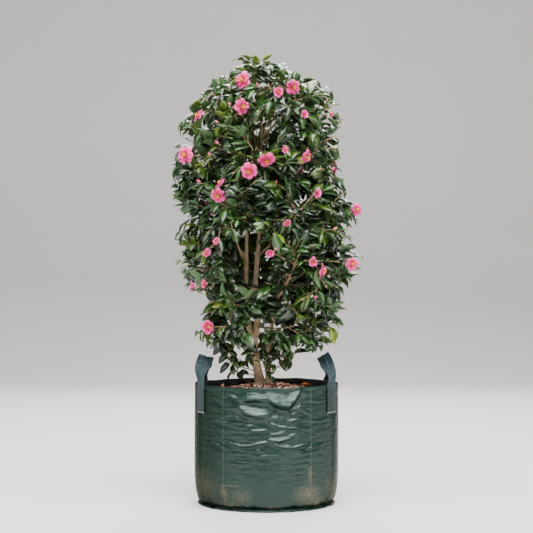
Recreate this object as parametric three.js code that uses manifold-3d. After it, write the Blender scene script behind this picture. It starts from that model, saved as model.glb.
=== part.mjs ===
// A camellia shrub in flower, grown as a column of foliage on a forked trunk and a second stem, standing in a
// woven planter bag with two webbing handles. Millimetres, +Z up, the front at -Y. The origin is the middle
// of the bag's flat underside. Azimuths are degrees round the Z axis: 0 is the front and 90 is +X.

import * as THREE from "three";
import { mergeVertices } from "three/addons/utils/BufferGeometryUtils.js";
import Module from "manifold-3d";

const wasm = await Module();
wasm.setup();

// The planter bag: 500 mm across, a nominal 75 litres
const BAG_RADIUS = 250;
const BAG_HEIGHT = 414;
const BAG_WALL = 3;
const BAG_SIDES = 40;
const HEM_DEPTH = 30;
const HEM_PROUD = 1;
const SEAM_HEIGHT = 8;
const FIT_GAP = 0.3;

// The potting mix: its mound round the stems and its level at the wall
const MOUND_HEIGHT = 408;
const MOUND_RADIUS = 75;
const MIX_AT_WALL = 392;

// The handles: webbing, both ends sewn flat to the outside of the bag
const STRAP_WIDTH = 48;
const STRAP_THICKNESS = 2.6;
const STRAP_STEPS = 22;
const STRAP_FOOT = 319;
const LEG_AZIMUTH = 64;
const HANDLE_TOP = 509;
const HANDLE_LEAN = 26;
const HANDLE_ROOM = 160;

// The crown: how far it reaches to the left and right of its own axis, by height
const CROWN_AXIS_X = -25;
const DEPTH_SHARE = 0.93;
const CROWN = [
  [425, 60, 50],
  [480, 140, 108],
  [530, 172, 150],
  [553, 235, 285],
  [650, 228, 305],
  [760, 278, 345],
  [830, 308, 366],
  [940, 314, 350],
  [980, 268, 352],
  [1030, 308, 352],
  [1090, 323, 306],
  [1200, 312, 292],
  [1365, 278, 292],
  [1430, 220, 270],
  [1490, 162, 182],
  [1535, 112, 110],
  [1562, 96, 62],
  [1572, 64, 48],
];

// The photograph's viewpoint: how far it stands in front of the trunk and how high
const EYE_DISTANCE = 4470;
const EYE_HEIGHT = 687.6;

// The open windows in the front of the crown where the stems show
const WINDOWS = [
  { middle: [-38, -170, 822], half: [62, 150, 92] },
  { middle: [-6, -160, 1262], half: [46, 165, 60] },
];

// Leaves and twigs of the solids: larger than life and fewer than the plant has
const LEAF_LENGTH = 106;
const LEAF_WIDTH = 50;
const LEAF_THICKNESS = 3.2;
const LEAF_FOLD = 5;
const LEAF_ARCH = 7;
const LEAF_SIZES = [0.86, 1.14];
const LEAF_SPREAD = 1.1;
const LEAF_DROOP = [0.1, 0.5];
const FACING_SPREAD = 75;
const FACING_RISE = [0.2, 1.2];
const TIP_SPREAD = 0.35;
const TIP_SHRINK = 0.035;
const TOP_RISE = 0.6;
const ROOT_SINK = 0.45;
const TWIG_SHARE = 0.7;
const TWIG_TIP = 2.6;
const TWIG_ROOTS = [0.24, 0.97];
const TWIG_ROOM = 50;
const TWIGS_PER_MASS = 4;
const OUTER_SHARE = 0.8;
const END_MARGIN = 12;
const LEAVED = [0.42, 0.97];
const LEAVES_PER_TWIG = 6;
const LEAVES_BY_BLOOM = 2;
const BASE_SCALE = 0.6;
const BASE_ROOM = 26;
const BASE_TWIGS = 3;
const SAMPLE_STEP = 8;
const LIMB_CLEARANCE = 7;
const POT_CLEARANCE = 12;
const CELL_MARGIN = 0.6;
const SMOOTHING = 0.05;
const TRIES = 14;
const CANDIDATES = 24;

const v = (x, y, z) => new THREE.Vector3(x, y, z);
const UP = v(0, 0, 1);
const radians = THREE.MathUtils.degToRad;
const mix = THREE.MathUtils.lerp;
const outwards = (azimuth) => v(Math.sin(radians(azimuth)), -Math.cos(radians(azimuth)), 0);

// A seeded run of numbers from 0 to 1: the same seed always gives the same plant.
function seeded(seed) {
  let state = seed >>> 0;
  return () => {
    state = (Math.imul(state, 1664525) + 1013904223) >>> 0;
    return state / 4294967296;
  };
}

// Solids

function solidOf(geometry) {
  const bare = new THREE.BufferGeometry();
  const loose = geometry.index ? geometry.toNonIndexed() : geometry;
  bare.setAttribute("position", loose.getAttribute("position"));
  const merged = mergeVertices(bare, 1e-4);
  return new wasm.Manifold(
    new wasm.Mesh({
      numProp: 3,
      vertProperties: new Float32Array(merged.attributes.position.array),
      triVerts: new Uint32Array(merged.index.array),
    }),
  );
}

function geometryOf(solid) {
  const mesh = solid.getMesh();
  const places = new Float32Array(mesh.numVert * 3);
  for (let i = 0; i < mesh.numVert; i++) {
    places.set(mesh.vertProperties.subarray(i * mesh.numProp, i * mesh.numProp + 3), i * 3);
  }
  const geometry = new THREE.BufferGeometry();
  geometry.setAttribute("position", new THREE.BufferAttribute(places, 3));
  geometry.setIndex(new THREE.BufferAttribute(mesh.triVerts, 1));
  geometry.computeVertexNormals();
  return geometry;
}

const largest = (solid) => solid.simplify(SMOOTHING).decompose().sort((a, b) => b.volume() - a.volume())[0];

function turned(profile) {
  const points = profile.map(([radius, height]) => new THREE.Vector2(radius, height));
  return new THREE.LatheGeometry(points, BAG_SIDES).rotateX(Math.PI / 2);
}

// Bends an upright shape of height 1 along frames, each with its middle, cross directions and size.
function bend(geometry, frames) {
  const place = geometry.attributes.position;
  const last = frames.length - 1;
  for (let i = 0; i < place.count; i++) {
    const frame = frames[Math.round((place.getY(i) + 0.5) * last)];
    const point = frame.middle
      .clone()
      .addScaledVector(frame.side, place.getX(i) * frame.size)
      .addScaledVector(frame.face, place.getZ(i) * frame.size);
    place.setXYZ(i, point.x, point.y, point.z);
  }
  return geometry;
}

function framesAlong(curve, steps, sizeAt, flatFoot = false) {
  const frames = [];
  let side = Math.abs(curve.getTangent(0).x) > 0.8 ? v(0, 1, 0) : v(1, 0, 0);
  for (let i = 0; i <= steps; i++) {
    const t = i / steps;
    const run = i === 0 && flatFoot ? UP.clone() : curve.getTangent(t);
    side = side.clone().addScaledVector(run, -side.dot(run)).normalize();
    frames.push({ middle: curve.getPoint(t), side, face: side.clone().cross(run), size: sizeAt(t) });
  }
  return frames;
}

function tube(line, sides, steps, grow = 0) {
  const frames = framesAlong(line.curve, steps, (t) => line.radiusAt(t) + grow, line.flatFoot);
  return solidOf(bend(new THREE.CylinderGeometry(1, 1, 1, sides, steps), frames));
}

const grownLimb = (line) => tube(line, line.sides, line.steps, FIT_GAP + 0.1);

// Limbs: a smooth line through a few places, with a taper from girth to tip and a flare at the foot

function limb(name, places, girth, tip, options = {}) {
  const curve = new THREE.CatmullRomCurve3(places.map((p) => v(...p)), false, "centripetal");
  const { flare = 0, flareReach = 0.05, power = 0.9, sides = 8, steps = 18, flatFoot = false } = options;
  const radiusAt = (t) => tip + (girth - tip) * (1 - t) ** power + flare * Math.exp(-t / flareReach);
  return { name, curve, radiusAt, sides, steps, flatFoot };
}

const FOOT = MOUND_HEIGHT + FIT_GAP;

const trunk = limb(
  "trunk",
  [
    [-22, 0, FOOT], [-34, -3, 480], [-42, -5, 545], [-31, -6, 640],
    [-39, -5, 754], [-27, 0, 900], [-20, 8, 1120], [-17, 5, 1330],
  ],
  16, 4, { flare: 5, flareReach: 0.03, sides: 8, steps: 20, flatFoot: true },
);
const leftLeader = limb(
  "left_leader",
  [[-40, -5, 536], [-62, -10, 612], [-72, -12, 700], [-70, -11, 850], [-68, 0, 1000], [-52, 4, 1230]],
  11.5, 4, { sides: 7, steps: 13 },
);
const backStem = limb(
  "back_stem",
  [[8, 27, FOOT], [4, 34, 500], [22, 54, 640], [38, 62, 840], [40, 58, 1000], [34, 48, 1170]],
  9.5, 3.8, { flare: 2.5, flareReach: 0.04, sides: 7, steps: 14, flatFoot: true },
);
const stems = [trunk, leftLeader, backStem];

const placeAtHeight = (stem, height) => {
  let low = 0;
  let high = 1;
  for (let i = 0; i < 30; i++) {
    const t = (low + high) / 2;
    if (stem.curve.getPoint(t).z < height) low = t;
    else high = t;
  }
  return low;
};

// The crown's outline

function crownSides(height) {
  if (height <= CROWN[0][0]) return [CROWN[0][1], CROWN[0][2]];
  for (let i = 1; i < CROWN.length; i++) {
    const [top, left, right] = CROWN[i];
    const [foot, lowerLeft, lowerRight] = CROWN[i - 1];
    if (height <= top) {
      const t = (height - foot) / (top - foot);
      return [mix(lowerLeft, left, t), mix(lowerRight, right, t)];
    }
  }
  return [0, 0];
}

function reachAt(azimuth, height) {
  const [left, right] = crownSides(height);
  const across = Math.sin(radians(azimuth)) < 0 ? left : right;
  const deep = ((left + right) / 2) * DEPTH_SHARE;
  if (across <= 0 || deep <= 0) return 0;
  return 1 / Math.hypot(Math.sin(radians(azimuth)) / across, Math.cos(radians(azimuth)) / deep);
}

const onCrown = (azimuth, height, distance) =>
  outwards(azimuth).multiplyScalar(distance).add(v(CROWN_AXIS_X, 0, height));

function shareOfReach(point) {
  const x = point.x - CROWN_AXIS_X;
  const azimuth = THREE.MathUtils.radToDeg(Math.atan2(x, -point.y));
  const reach = reachAt(azimuth, point.z);
  return reach > 0 ? Math.hypot(x, point.y) / reach : Infinity;
}

const inWindow = (point) =>
  WINDOWS.some(({ middle, half }) => {
    const offset = point.toArray().map((value, axis) => (value - middle[axis]) / half[axis]);
    return Math.hypot(...offset) < 1;
  });

// The masses of foliage: level, height, share of the reach, then each one's azimuth.
// A mass whose name is in BOUGHS hangs on a bough of its own, the others on a stem straight from the trunk.

const LEVELS = [
  ["base", 474, 0.62, { left: -78, right: 62 }],
  ["skirt", 612, 0.6, { left: -104, front_left: -38, front_right: 38, right: 100, back: 178 }],
  ["low", 815, 0.62, { left: -80, front_right: 30, right: 92, back_right: 152, back_left: -145 }],
  ["middle", 1010, 0.62, { left: -95, front_left: -30, front_right: 38, right: 105, back: 176 }],
  ["high", 1205, 0.62, { left: -76, front: -6, right: 62, back_right: 132, back_left: -150 }],
  ["shoulder", 1385, 0.56, { left: -75, front_right: 42, back: 165 }],
  ["top", 1492, 0, { middle: 0 }],
];
const BOUGHS = new Set([
  "skirt_left", "skirt_right", "low_left", "low_front_right", "low_right", "low_back_left", "middle_left",
  "middle_right", "middle_back", "high_left", "high_right", "high_back_right", "shoulder_front_right",
]);
// Boughs that show in the photograph leave their stem at a height and with a bow of their own.
const SEEN = {
  low_left: { holder: trunk, from: 762, bow: [-6, -84, -8] },
  low_front_right: { holder: trunk, from: 584, bow: [22, -16, -26] },
  middle_left: { holder: leftLeader, from: 850, bow: [0, -10, 14] },
  base_left: { holder: trunk, from: 452, bow: [0, -10, 6] },
  base_right: { holder: backStem, from: 456, bow: [4, -16, -4] },
};
const LEVEL_TALL = { base: 90, skirt: 200, low: 200, middle: 195, high: 195, shoulder: 170, top: 130 };
const LEVEL_SPREAD = { base: 120, skirt: 84, low: 84, middle: 84, high: 84, shoulder: 125, top: 360 };
const BOUGH_GIRTH = 6.5;
const BOUGH_TIP = 4.2;
const STEM_TIP = 3;
const RISE = 0.85;
const BOUGH_SHARE = 0.6;
const JOINT_GAP = 0.4;
const ROUTE_GAP = 3;
const SHIFTS = [0, 26, -26, 52, -52, 78, -78];
const STEM_REACH = 0.3;
const TOP_STEM = 26;
const BASE_SLIM = 0.55;
const SAG = 0.07;

const masses = [];
for (const [level, height, share, sides] of LEVELS) {
  for (const [side, azimuth] of Object.entries(sides)) {
    const name = `${level}_${side}`;
    const distance = reachAt(azimuth, height) * share;
    const centre = onCrown(azimuth, height, distance);
    masses.push({ name, level, azimuth, height, centre, seen: SEEN[name] });
  }
}

// The walls between neighbouring masses lie midway between their centres.
function insideCell(mass, point, margin) {
  return masses.every((other) => {
    if (other === mass) return true;
    const across = other.centre.clone().sub(mass.centre);
    const width = across.length();
    return point.clone().sub(mass.centre).dot(across) / width <= width / 2 - margin;
  });
}

function holderOf(mass) {
  if (mass.seen) return { stem: mass.seen.holder, height: mass.seen.from };
  let best;
  for (const stem of stems) {
    const wanted = mass.centre.z - RISE * Math.hypot(mass.centre.x, mass.centre.y);
    const height = THREE.MathUtils.clamp(wanted, FOOT + 150, stem.curve.getPoint(1).z - 12);
    const away = stem.curve.getPoint(placeAtHeight(stem, height)).distanceTo(mass.centre);
    if (!best || away < best.away) best = { stem, height, away };
  }
  return best;
}

// A bough or a mass's stem: it leaves its holder, rises, and runs on through the mass's middle.
function routeTo(mass, start, end) {
  const bow = mass.seen ? v(...mass.seen.bow) : v(0, 0, -SAG * start.distanceTo(end));
  const middle = start.clone().lerp(end, 0.5).add(bow);
  return new THREE.QuadraticBezierCurve3(start, middle, end);
}

// A stretch of a longer curve
class Stretch extends THREE.Curve {
  constructor(whole, from, to) {
    super();
    Object.assign(this, { whole, from, to });
  }

  getPoint(t) {
    return this.whole.getPoint(mix(this.from, this.to, t));
  }
}

// Balls along a limb or stem, which all else keeps clear of
const ballsOf = (line) => {
  const count = Math.ceil(line.curve.getLength() / SAMPLE_STEP);
  return Array.from({ length: count + 1 }, (_, i) => ({
    middle: line.curve.getPoint(i / count),
    radius: line.radiusAt(i / count),
    owner: line.name,
  }));
};
const balls = stems.flatMap(ballsOf);
const boughs = [];

// Settles each mass's bough and stem. A route that meets another limb leaves its holder higher or lower.
for (const mass of masses) {
  const { stem, height } = holderOf(mass);
  const surface = onCrown(mass.azimuth, mass.height, reachAt(mass.azimuth, mass.height));
  const end = mass.centre.clone();
  if (mass.level === "top") end.z += TOP_STEM;
  else end.lerp(surface, STEM_REACH);
  const slim = mass.level === "base" ? BASE_SLIM : 1;
  mass.holder = stem;
  for (const shift of SHIFTS) {
    const whole = routeTo(mass, stem.curve.getPoint(placeAtHeight(stem, height + shift)), end);
    let from = 0;
    if (BOUGHS.has(mass.name)) {
      from = BOUGH_SHARE + JOINT_GAP / whole.getLength();
      mass.bough = {
        name: `bough_${mass.name}`,
        curve: new Stretch(whole, 0, BOUGH_SHARE),
        radiusAt: (s) => mix(BOUGH_GIRTH, BOUGH_TIP, s),
        sides: 6,
        steps: 4,
        holder: stem,
      };
    }
    mass.stem = {
      name: mass.name,
      curve: new Stretch(whole, from, 1),
      radiusAt: (s) => mix(BOUGH_TIP, STEM_TIP, s) * slim,
    };
    mass.balls = [mass.bough, mass.stem].filter(Boolean).flatMap(ballsOf);
    const others = balls.filter((ball) => ball.owner !== stem.name);
    const meets = mass.balls.some((ball) => others.some((other) =>
      other.middle.distanceTo(ball.middle) < other.radius + ball.radius + ROUTE_GAP));
    if (!meets) break;
  }
  if (mass.bough) boughs.push(mass.bough);
  balls.push(...mass.balls);
}

function clearOfLimbs(mass, points, clearance) {
  const middle = points[points.length >> 1];
  const span = Math.max(...points.map((point) => point.distanceTo(middle)));
  return balls.every((ball) =>
    ball.owner === mass.name ||
    ball.middle.distanceTo(middle) > span + ball.radius + clearance ||
    points.every((point) => point.distanceTo(ball.middle) > ball.radius + clearance));
}

// Leaves stay above the rim, and above the handles where these stand.
const clearOfPot = (point) => {
  const overHandle = Math.abs(point.x) > HANDLE_ROOM && Math.abs(point.y) < HANDLE_ROOM;
  return point.z > (overHandle ? HANDLE_TOP : BAG_HEIGHT) + POT_CLEARANCE;
};

// Blooms seen in the photograph: across and up as they show in the plane of the trunk, diameter, and the way
// each faces (azimuth and tilt up)
const FRONT_BLOOMS = [
  [-86, 1474, 58, -12, 10],
  [-85, 1380, 54, 8, -5],
  [88, 1446, 54, 22, -12],
  [41, 1430, 40, 12, 5],
  [-242, 1348, 46, -66, 15],
  [-284, 1210, 64, -30, 5],
  [1, 1190, 54, 12, -45],
  [-62, 1152, 56, -8, -20],
  [-165, 1111, 46, -35, 10],
  [-170, 1067, 52, -28, 5],
  [142, 1201, 48, 66, 10],
  [176, 1074, 36, 30, -5],
  [318, 1018, 54, 40, 0],
  [300, 826, 56, 32, 0],
  [200, 803, 56, 78, -15],
  [-205, 607, 50, 10, 0],
  [-254, 750, 40, -80, 0],
  [226, 1355, 44, 80, 5],
];
const HIDDEN_BLOOMS = 18;
const HIDDEN_AZIMUTHS = [75, 285];
const HIDDEN_HEIGHTS = [620, 1470];
const HIDDEN_WIDTHS = [44, 62];
const HIDDEN_TURN = 15;
const HIDDEN_TILTS = [-8, 12];
const BLOOM_DEPTH = 0.9;
const BLOOM_BACK = 8;
const VIEW_OF_BLOOM = [-BLOOM_BACK, 90];
const SHOWN_SHARE = 0.42;
const EDGE_SHARE = 0.985;
// Steps that spread places evenly over an area, however many are taken
const EVEN_STEPS = [0.7548777, 0.5698403];

// Where a place seen in the plane of the trunk lies, at a depth of its own in the crown
function fromView(x, y, height) {
  const nearer = (EYE_DISTANCE + y) / EYE_DISTANCE;
  return v(x * nearer, y, EYE_HEIGHT + (height - EYE_HEIGHT) * nearer);
}

function bloomPlaces() {
  const places = FRONT_BLOOMS.map(([x, height, width, azimuth, tilt]) => {
    const [left, right] = crownSides(height);
    const across = x < CROWN_AXIS_X ? left : right;
    const deep = ((left + right) / 2) * DEPTH_SHARE;
    const share = Math.min(EDGE_SHARE, Math.abs(x - CROWN_AXIS_X) / across);
    const place = fromView(x, -deep * Math.sqrt(1 - share * share) * BLOOM_DEPTH, height);
    return { place, width, azimuth, tilt };
  });
  const random = seeded(41);
  for (let i = 0; i < HIDDEN_BLOOMS; i++) {
    const [round, up] = EVEN_STEPS.map((step) => (0.5 + i * step) % 1);
    const azimuth = mix(...HIDDEN_AZIMUTHS, round);
    const height = mix(...HIDDEN_HEIGHTS, up);
    const place = onCrown(azimuth, height, reachAt(azimuth, height) * BLOOM_DEPTH);
    const width = mix(...HIDDEN_WIDTHS, random());
    const turn = mix(-HIDDEN_TURN, HIDDEN_TURN, random());
    places.push({ place, width, azimuth: azimuth + turn, tilt: mix(...HIDDEN_TILTS, random()) });
  }
  return places.map(({ place, width, azimuth, tilt }) => ({
    place,
    width,
    facing: outwards(azimuth)
      .multiplyScalar(Math.cos(radians(tilt)))
      .addScaledVector(UP, Math.sin(radians(tilt))),
  }));
}
const blooms = bloomPlaces();
const twigEnds = blooms.map((bloom) => bloom.place);

// Where a shape made along Y and facing Z goes in the crown
function frameAt(foot, along, facing) {
  const face = facing.clone().addScaledVector(along, -facing.dot(along)).normalize();
  return new THREE.Matrix4().makeBasis(along.clone().cross(face), along, face).setPosition(foot);
}

// A point on a leaf: x runs from edge to edge, y from foot to tip and z through it, each from -1 to 1.
function onLeaf(x, y, z, scale) {
  const middle = 1 - Math.abs(y);
  const along = (LEAF_LENGTH / 2) * (y + 1 - 0.1 * middle);
  const rise = LEAF_ARCH * middle + LEAF_FOLD * Math.abs(x) + (LEAF_THICKNESS / 2) * z;
  return v((LEAF_WIDTH / 2) * x, along, rise).multiplyScalar(scale);
}

// A leaf of eight faces: foot, tip, two edges, the rib above and the rib below, folded and arched.
function leafShape(scale) {
  const shape = new THREE.OctahedronGeometry(1);
  const place = shape.attributes.position;
  for (let i = 0; i < place.count; i++) {
    const [x, y, z] = [place.getX(i), place.getY(i), place.getZ(i)].map(Math.round);
    const point = onLeaf(x, y, z, scale);
    place.setXYZ(i, point.x, point.y, point.z);
  }
  return shape;
}

const LEAF_SAMPLES = [];
for (let y = -10; y <= 10; y += 2) {
  for (let x = -2; x <= 2; x++) LEAF_SAMPLES.push([(x / 2) * (1 - Math.abs(y / 10)), y / 10]);
}

function leafFits(mass, points) {
  if (points.some((point) => shareOfReach(point) > 1 || inWindow(point) || !clearOfPot(point))) return false;
  if (!points.every((point) => insideCell(mass, point, CELL_MARGIN + LEAF_THICKNESS / 2))) return false;
  if (blooms.some((bloom) => points.some((point) => hides(bloom, point)))) return false;
  return clearOfLimbs(mass, points, LIMB_CLEARANCE);
}

// A leaf hides a bloom where it stands in front of its face.
function hides(bloom, point) {
  const offset = point.clone().sub(bloom.place);
  const ahead = offset.dot(bloom.facing);
  if (ahead < VIEW_OF_BLOOM[0] || ahead > VIEW_OF_BLOOM[1]) return false;
  return offset.addScaledVector(bloom.facing, -ahead).length() < bloom.width * SHOWN_SHARE;
}

// An open bloom: a shallow cup of petals round a raised middle
function bloomShape(width) {
  const petals = 6;
  const half = width / 2;
  const shape = new THREE.LatheGeometry(
    [new THREE.Vector2(0, -BLOOM_BACK), new THREE.Vector2(half, 5), new THREE.Vector2(0, 4)], petals * 2);
  const place = shape.attributes.position;
  for (let i = 0; i < place.count; i++) {
    const [x, y, z] = [place.getX(i), place.getY(i), place.getZ(i)];
    const turn = Math.round((Math.atan2(x, z) / Math.PI) * petals);
    const reach = turn % 2 ? 0.94 : 1;
    place.setXYZ(i, x * reach, y, z * reach);
  }
  return shape;
}

// The stretch of a mass's stem that lies nearest to a place
function nearestOn(line, place) {
  let nearest = { away: Infinity };
  for (let s = 0; s <= 1; s += 0.05) {
    const away = line.curve.getPoint(s).distanceTo(place);
    if (away < nearest.away) nearest = { s, away };
  }
  return nearest.s;
}

// A straight twig from the stem to a place
function twigTo(mass, s, end, scale) {
  const curve = new THREE.LineCurve3(mass.stem.curve.getPoint(s), end);
  const root = mass.stem.radiusAt(s) * TWIG_SHARE;
  const radiusAt = (t) => mix(root, TWIG_TIP * scale, t);
  return { name: mass.name, curve, radiusAt };
}

function twigFits(mass, twig) {
  const count = Math.ceil(twig.curve.getLength() / SAMPLE_STEP);
  const points = Array.from({ length: count + 1 }, (_, i) => twig.curve.getPoint(i / count));
  return points.every((point) => clearOfPot(point) && insideCell(mass, point, CELL_MARGIN + TWIG_TIP)) &&
    !points.slice(-3).some(inWindow) &&
    clearOfLimbs(mass, points, LIMB_CLEARANCE - 1);
}

// Grows leaves round the outer half of a twig. One that would cross another piece tries again, then is left
// out, and the one at the tip runs on outwards and gets smaller until it fits.
function leavesOn(mass, twig, count, scale, random, others) {
  const { side, face } = framesAlong(twig.curve, 1, twig.radiusAt)[0];
  const run = twig.curve.getTangent(0);
  const turn = Math.floor(random() * 3);
  for (let i = 0; i < count; i++) {
    const t = mix(...LEAVED, (i + 0.5) / count);
    const last = i === count - 1;
    const spread = last ? TIP_SPREAD : LEAF_SPREAD;
    for (let tries = 0; tries < TRIES; tries++) {
      // Each leaf stands on one of the twig's three flats.
      const angle = Math.PI * (1 / 3 + (2 / 3) * (turn + i + tries)) + 0.3 * (random() - 0.5);
      const size = scale * mix(...LEAF_SIZES, random()) * (last ? 1 - TIP_SHRINK * tries : 1);
      const along = run.clone().multiplyScalar(Math.cos(spread))
        .addScaledVector(side, Math.sin(angle) * Math.sin(spread))
        .addScaledVector(face, Math.cos(angle) * Math.sin(spread));
      along.z -= mass.level === "top" ? -TOP_RISE : mix(...LEAF_DROOP, random()) * (last ? 0.5 : 1);
      along.normalize();
      const foot = twig.curve.getPoint(t).addScaledVector(along, -ROOT_SINK * twig.radiusAt(t));
      const facing = outwards(mass.azimuth + mix(-FACING_SPREAD, FACING_SPREAD, random()))
        .addScaledVector(UP, mix(...FACING_RISE, random()));
      const frame = frameAt(foot, along, facing);
      if (!leafFits(mass, LEAF_SAMPLES.map(([x, y]) => onLeaf(x, y, 0, size).applyMatrix4(frame)))) continue;
      const leaf = solidOf(leafShape(size).applyMatrix4(frame));
      if (others.some((other) => other !== twig.solid && !leaf.intersect(other).isEmpty())) continue;
      others.push(leaf);
      break;
    }
  }
}

// Of some random places near the crown's surface in the mass's own space, the one furthest from other twig ends
function nextEnd(mass, room, random) {
  let best;
  for (let i = 0; i < CANDIDATES; i++) {
    const azimuth = mass.azimuth + LEVEL_SPREAD[mass.level] * (random() - 0.5);
    const height = mass.height + LEVEL_TALL[mass.level] * (random() - 0.5);
    const share = mass.level === "top" ? random() : mix(OUTER_SHARE, 1, random());
    const place = onCrown(azimuth, height, Math.max(0, reachAt(azimuth, height) - room) * share);
    if (!insideCell(mass, place, END_MARGIN) || inWindow(place)) continue;
    const away = Math.min(...twigEnds.map((end) => end.distanceTo(place)));
    if (!best || away > best.away) best = { place, away };
  }
  return best?.place;
}

function foliage(mass, seed) {
  const random = seeded(seed);
  const small = mass.level === "base";
  const scale = small ? BASE_SCALE : 1;
  const room = small ? BASE_ROOM : TWIG_ROOM;
  const ends = [];
  for (const bloom of blooms) {
    if (!insideCell(mass, bloom.place, bloom.width / 2)) continue;
    const place = bloom.place.clone().addScaledVector(bloom.facing, -3).add(v(0, 0, -bloom.width / 6));
    ends.push({ place, bloom, leaves: LEAVES_BY_BLOOM });
  }
  const wanted = ends.length + (small ? BASE_TWIGS : TWIGS_PER_MASS);
  while (ends.length < wanted) {
    const place = nextEnd(mass, room, random);
    if (!place) break;
    twigEnds.push(place);
    ends.push({ place, leaves: LEAVES_PER_TWIG });
  }
  // Twigs leave the stem one after another, so that their roots stand apart.
  ends.sort((a, b) => nearestOn(mass.stem, a.place) - nearestOn(mass.stem, b.place));
  const pieces = [tube(mass.stem, 4, 4)];
  const sprigs = [];
  ends.forEach(({ place, bloom, leaves }, i) => {
    const twig = twigTo(mass, mix(...TWIG_ROOTS, (i + 0.5) / ends.length), place, scale);
    if (!twigFits(mass, twig)) return;
    twig.solid = tube(twig, 3, 1);
    pieces.push(twig.solid);
    if (bloom) {
      const frame = frameAt(bloom.place, bloom.facing, UP);
      pieces.push(solidOf(bloomShape(bloom.width).applyMatrix4(frame)));
    }
    sprigs.push({ twig, leaves });
  });
  for (const { twig, leaves } of sprigs) leavesOn(mass, twig, leaves, scale, random, pieces);
  let whole = wasm.Manifold.union(pieces);
  if (!mass.bough) whole = whole.subtract(grownLimb(mass.holder));
  return largest(whole);
}

// The bag, the potting mix and the handles

function bagSolid() {
  const side = BAG_RADIUS;
  const outside = [
    [0, 0], [side - 8, 0], [side - 6, SEAM_HEIGHT], [side - 11, SEAM_HEIGHT + 3], [side - 4, 52], [side, 110],
    [side, BAG_HEIGHT - HEM_DEPTH - HEM_PROUD], [side + HEM_PROUD, BAG_HEIGHT - HEM_DEPTH],
    [side + HEM_PROUD, BAG_HEIGHT],
  ];
  return solidOf(turned([...outside, [side - BAG_WALL, BAG_HEIGHT], ...bagInside().reverse()]));
}

function bagInside() {
  const wall = BAG_RADIUS - BAG_WALL;
  return [[0, BAG_WALL + 1], [wall - 13, BAG_WALL + 7], [wall - 4, 53], [wall, 111]];
}

function mixSolid() {
  const shell = bagInside().map(([radius, height]) => [Math.max(0, radius - FIT_GAP), height + FIT_GAP]);
  const wall = BAG_RADIUS - BAG_WALL - FIT_GAP;
  return solidOf(turned([
    ...shell, [wall, MIX_AT_WALL], [MOUND_RADIUS, MOUND_HEIGHT], [0, MOUND_HEIGHT],
  ]));
}

// One handle: up from its front foot, over, and down to its back foot. The webbing turns as it rises.
function handleSolid(sideSign) {
  const away = BAG_RADIUS + HEM_PROUD + FIT_GAP + STRAP_THICKNESS / 2;
  const leg = outwards(sideSign * LEG_AZIMUTH).multiplyScalar(away);
  const topX = sideSign * (Math.abs(leg.x) - HANDLE_LEAN);
  const front = [
    [leg.x, leg.y, STRAP_FOOT],
    [leg.x, leg.y, BAG_HEIGHT - 30],
    [leg.x, leg.y, BAG_HEIGHT + 4],
    [leg.x - sideSign * 1, leg.y * 0.9, BAG_HEIGHT + 40],
    [mix(leg.x, topX, 0.6), leg.y * 0.52, HANDLE_TOP - 22],
    [topX, leg.y * 0.16, HANDLE_TOP - 3],
  ];
  const back = front.map(([x, y, z]) => [x, -y, z]).reverse();
  const curve = new THREE.CatmullRomCurve3([...front, ...back].map((p) => v(...p)), false, "centripetal");
  const frames = [];
  for (let i = 0; i <= STRAP_STEPS; i++) {
    const t = i / STRAP_STEPS;
    const middle = curve.getPoint(t);
    const run = curve.getTangent(t);
    const twist = THREE.MathUtils.smoothstep(middle.z, BAG_HEIGHT + 5, HANDLE_TOP - 8);
    const turn = radians(LEG_AZIMUTH * (1 - twist) * (t < 0.5 ? sideSign : -sideSign));
    const side = v(Math.cos(turn), Math.sin(turn), 0);
    side.addScaledVector(run, -side.dot(run)).normalize();
    frames.push({ middle, side, face: side.clone().cross(run), size: 1 });
  }
  return solidOf(bend(new THREE.BoxGeometry(STRAP_WIDTH, 1, STRAP_THICKNESS, 1, STRAP_STEPS, 1), frames));
}

// Finishes

function finish(color, roughness) {
  return new THREE.MeshStandardMaterial({ color, roughness, metalness: 0 });
}
const BAG_CLOTH = finish(0x2c5646, 0.42);
const WEBBING = finish(0x45625f, 0.7);
const POTTING_MIX = finish(0x5a3d2c, 0.95);
const BARK = finish(0x957c67, 0.85);
const LEAVES = finish(0x28421f, 0.38);

const shrub = new THREE.Group();

function add(name, solid, material) {
  const mesh = new THREE.Mesh(geometryOf(solid), material);
  mesh.name = name;
  shrub.add(mesh);
}

add("planter_bag", bagSolid(), BAG_CLOTH);
add("potting_mix", mixSolid(), POTTING_MIX);
add("handle_left", handleSolid(-1), WEBBING);
add("handle_right", handleSolid(1), WEBBING);

const limbSolid = (line) => tube(line, line.sides, line.steps);
const limbOn = (line, holder) => largest(limbSolid(line).subtract(grownLimb(holder)));

add("trunk", limbSolid(trunk), BARK);
add("left_leader", limbOn(leftLeader, trunk), BARK);
add("back_stem", limbSolid(backStem), BARK);
for (const bough of boughs) add(bough.name, limbOn(bough, bough.holder), BARK);
masses.forEach((mass, i) => add(`foliage_${mass.name}`, foliage(mass, 101 + 37 * i), LEAVES));

export default shrub;
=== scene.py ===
"""A camellia shrub in pink flower in a woven planter bag: bark, leaves, blooms, cloth, webbing and mix.

Metres, +Z up, the front at -Y. Azimuths are degrees round the Z axis: 0 is the front and 90 is +X. The shrub
grows here by the rule that its solids grow by, from the same limbs and within the same reach, in finer twigs.
"""

import math
from types import SimpleNamespace

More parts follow.
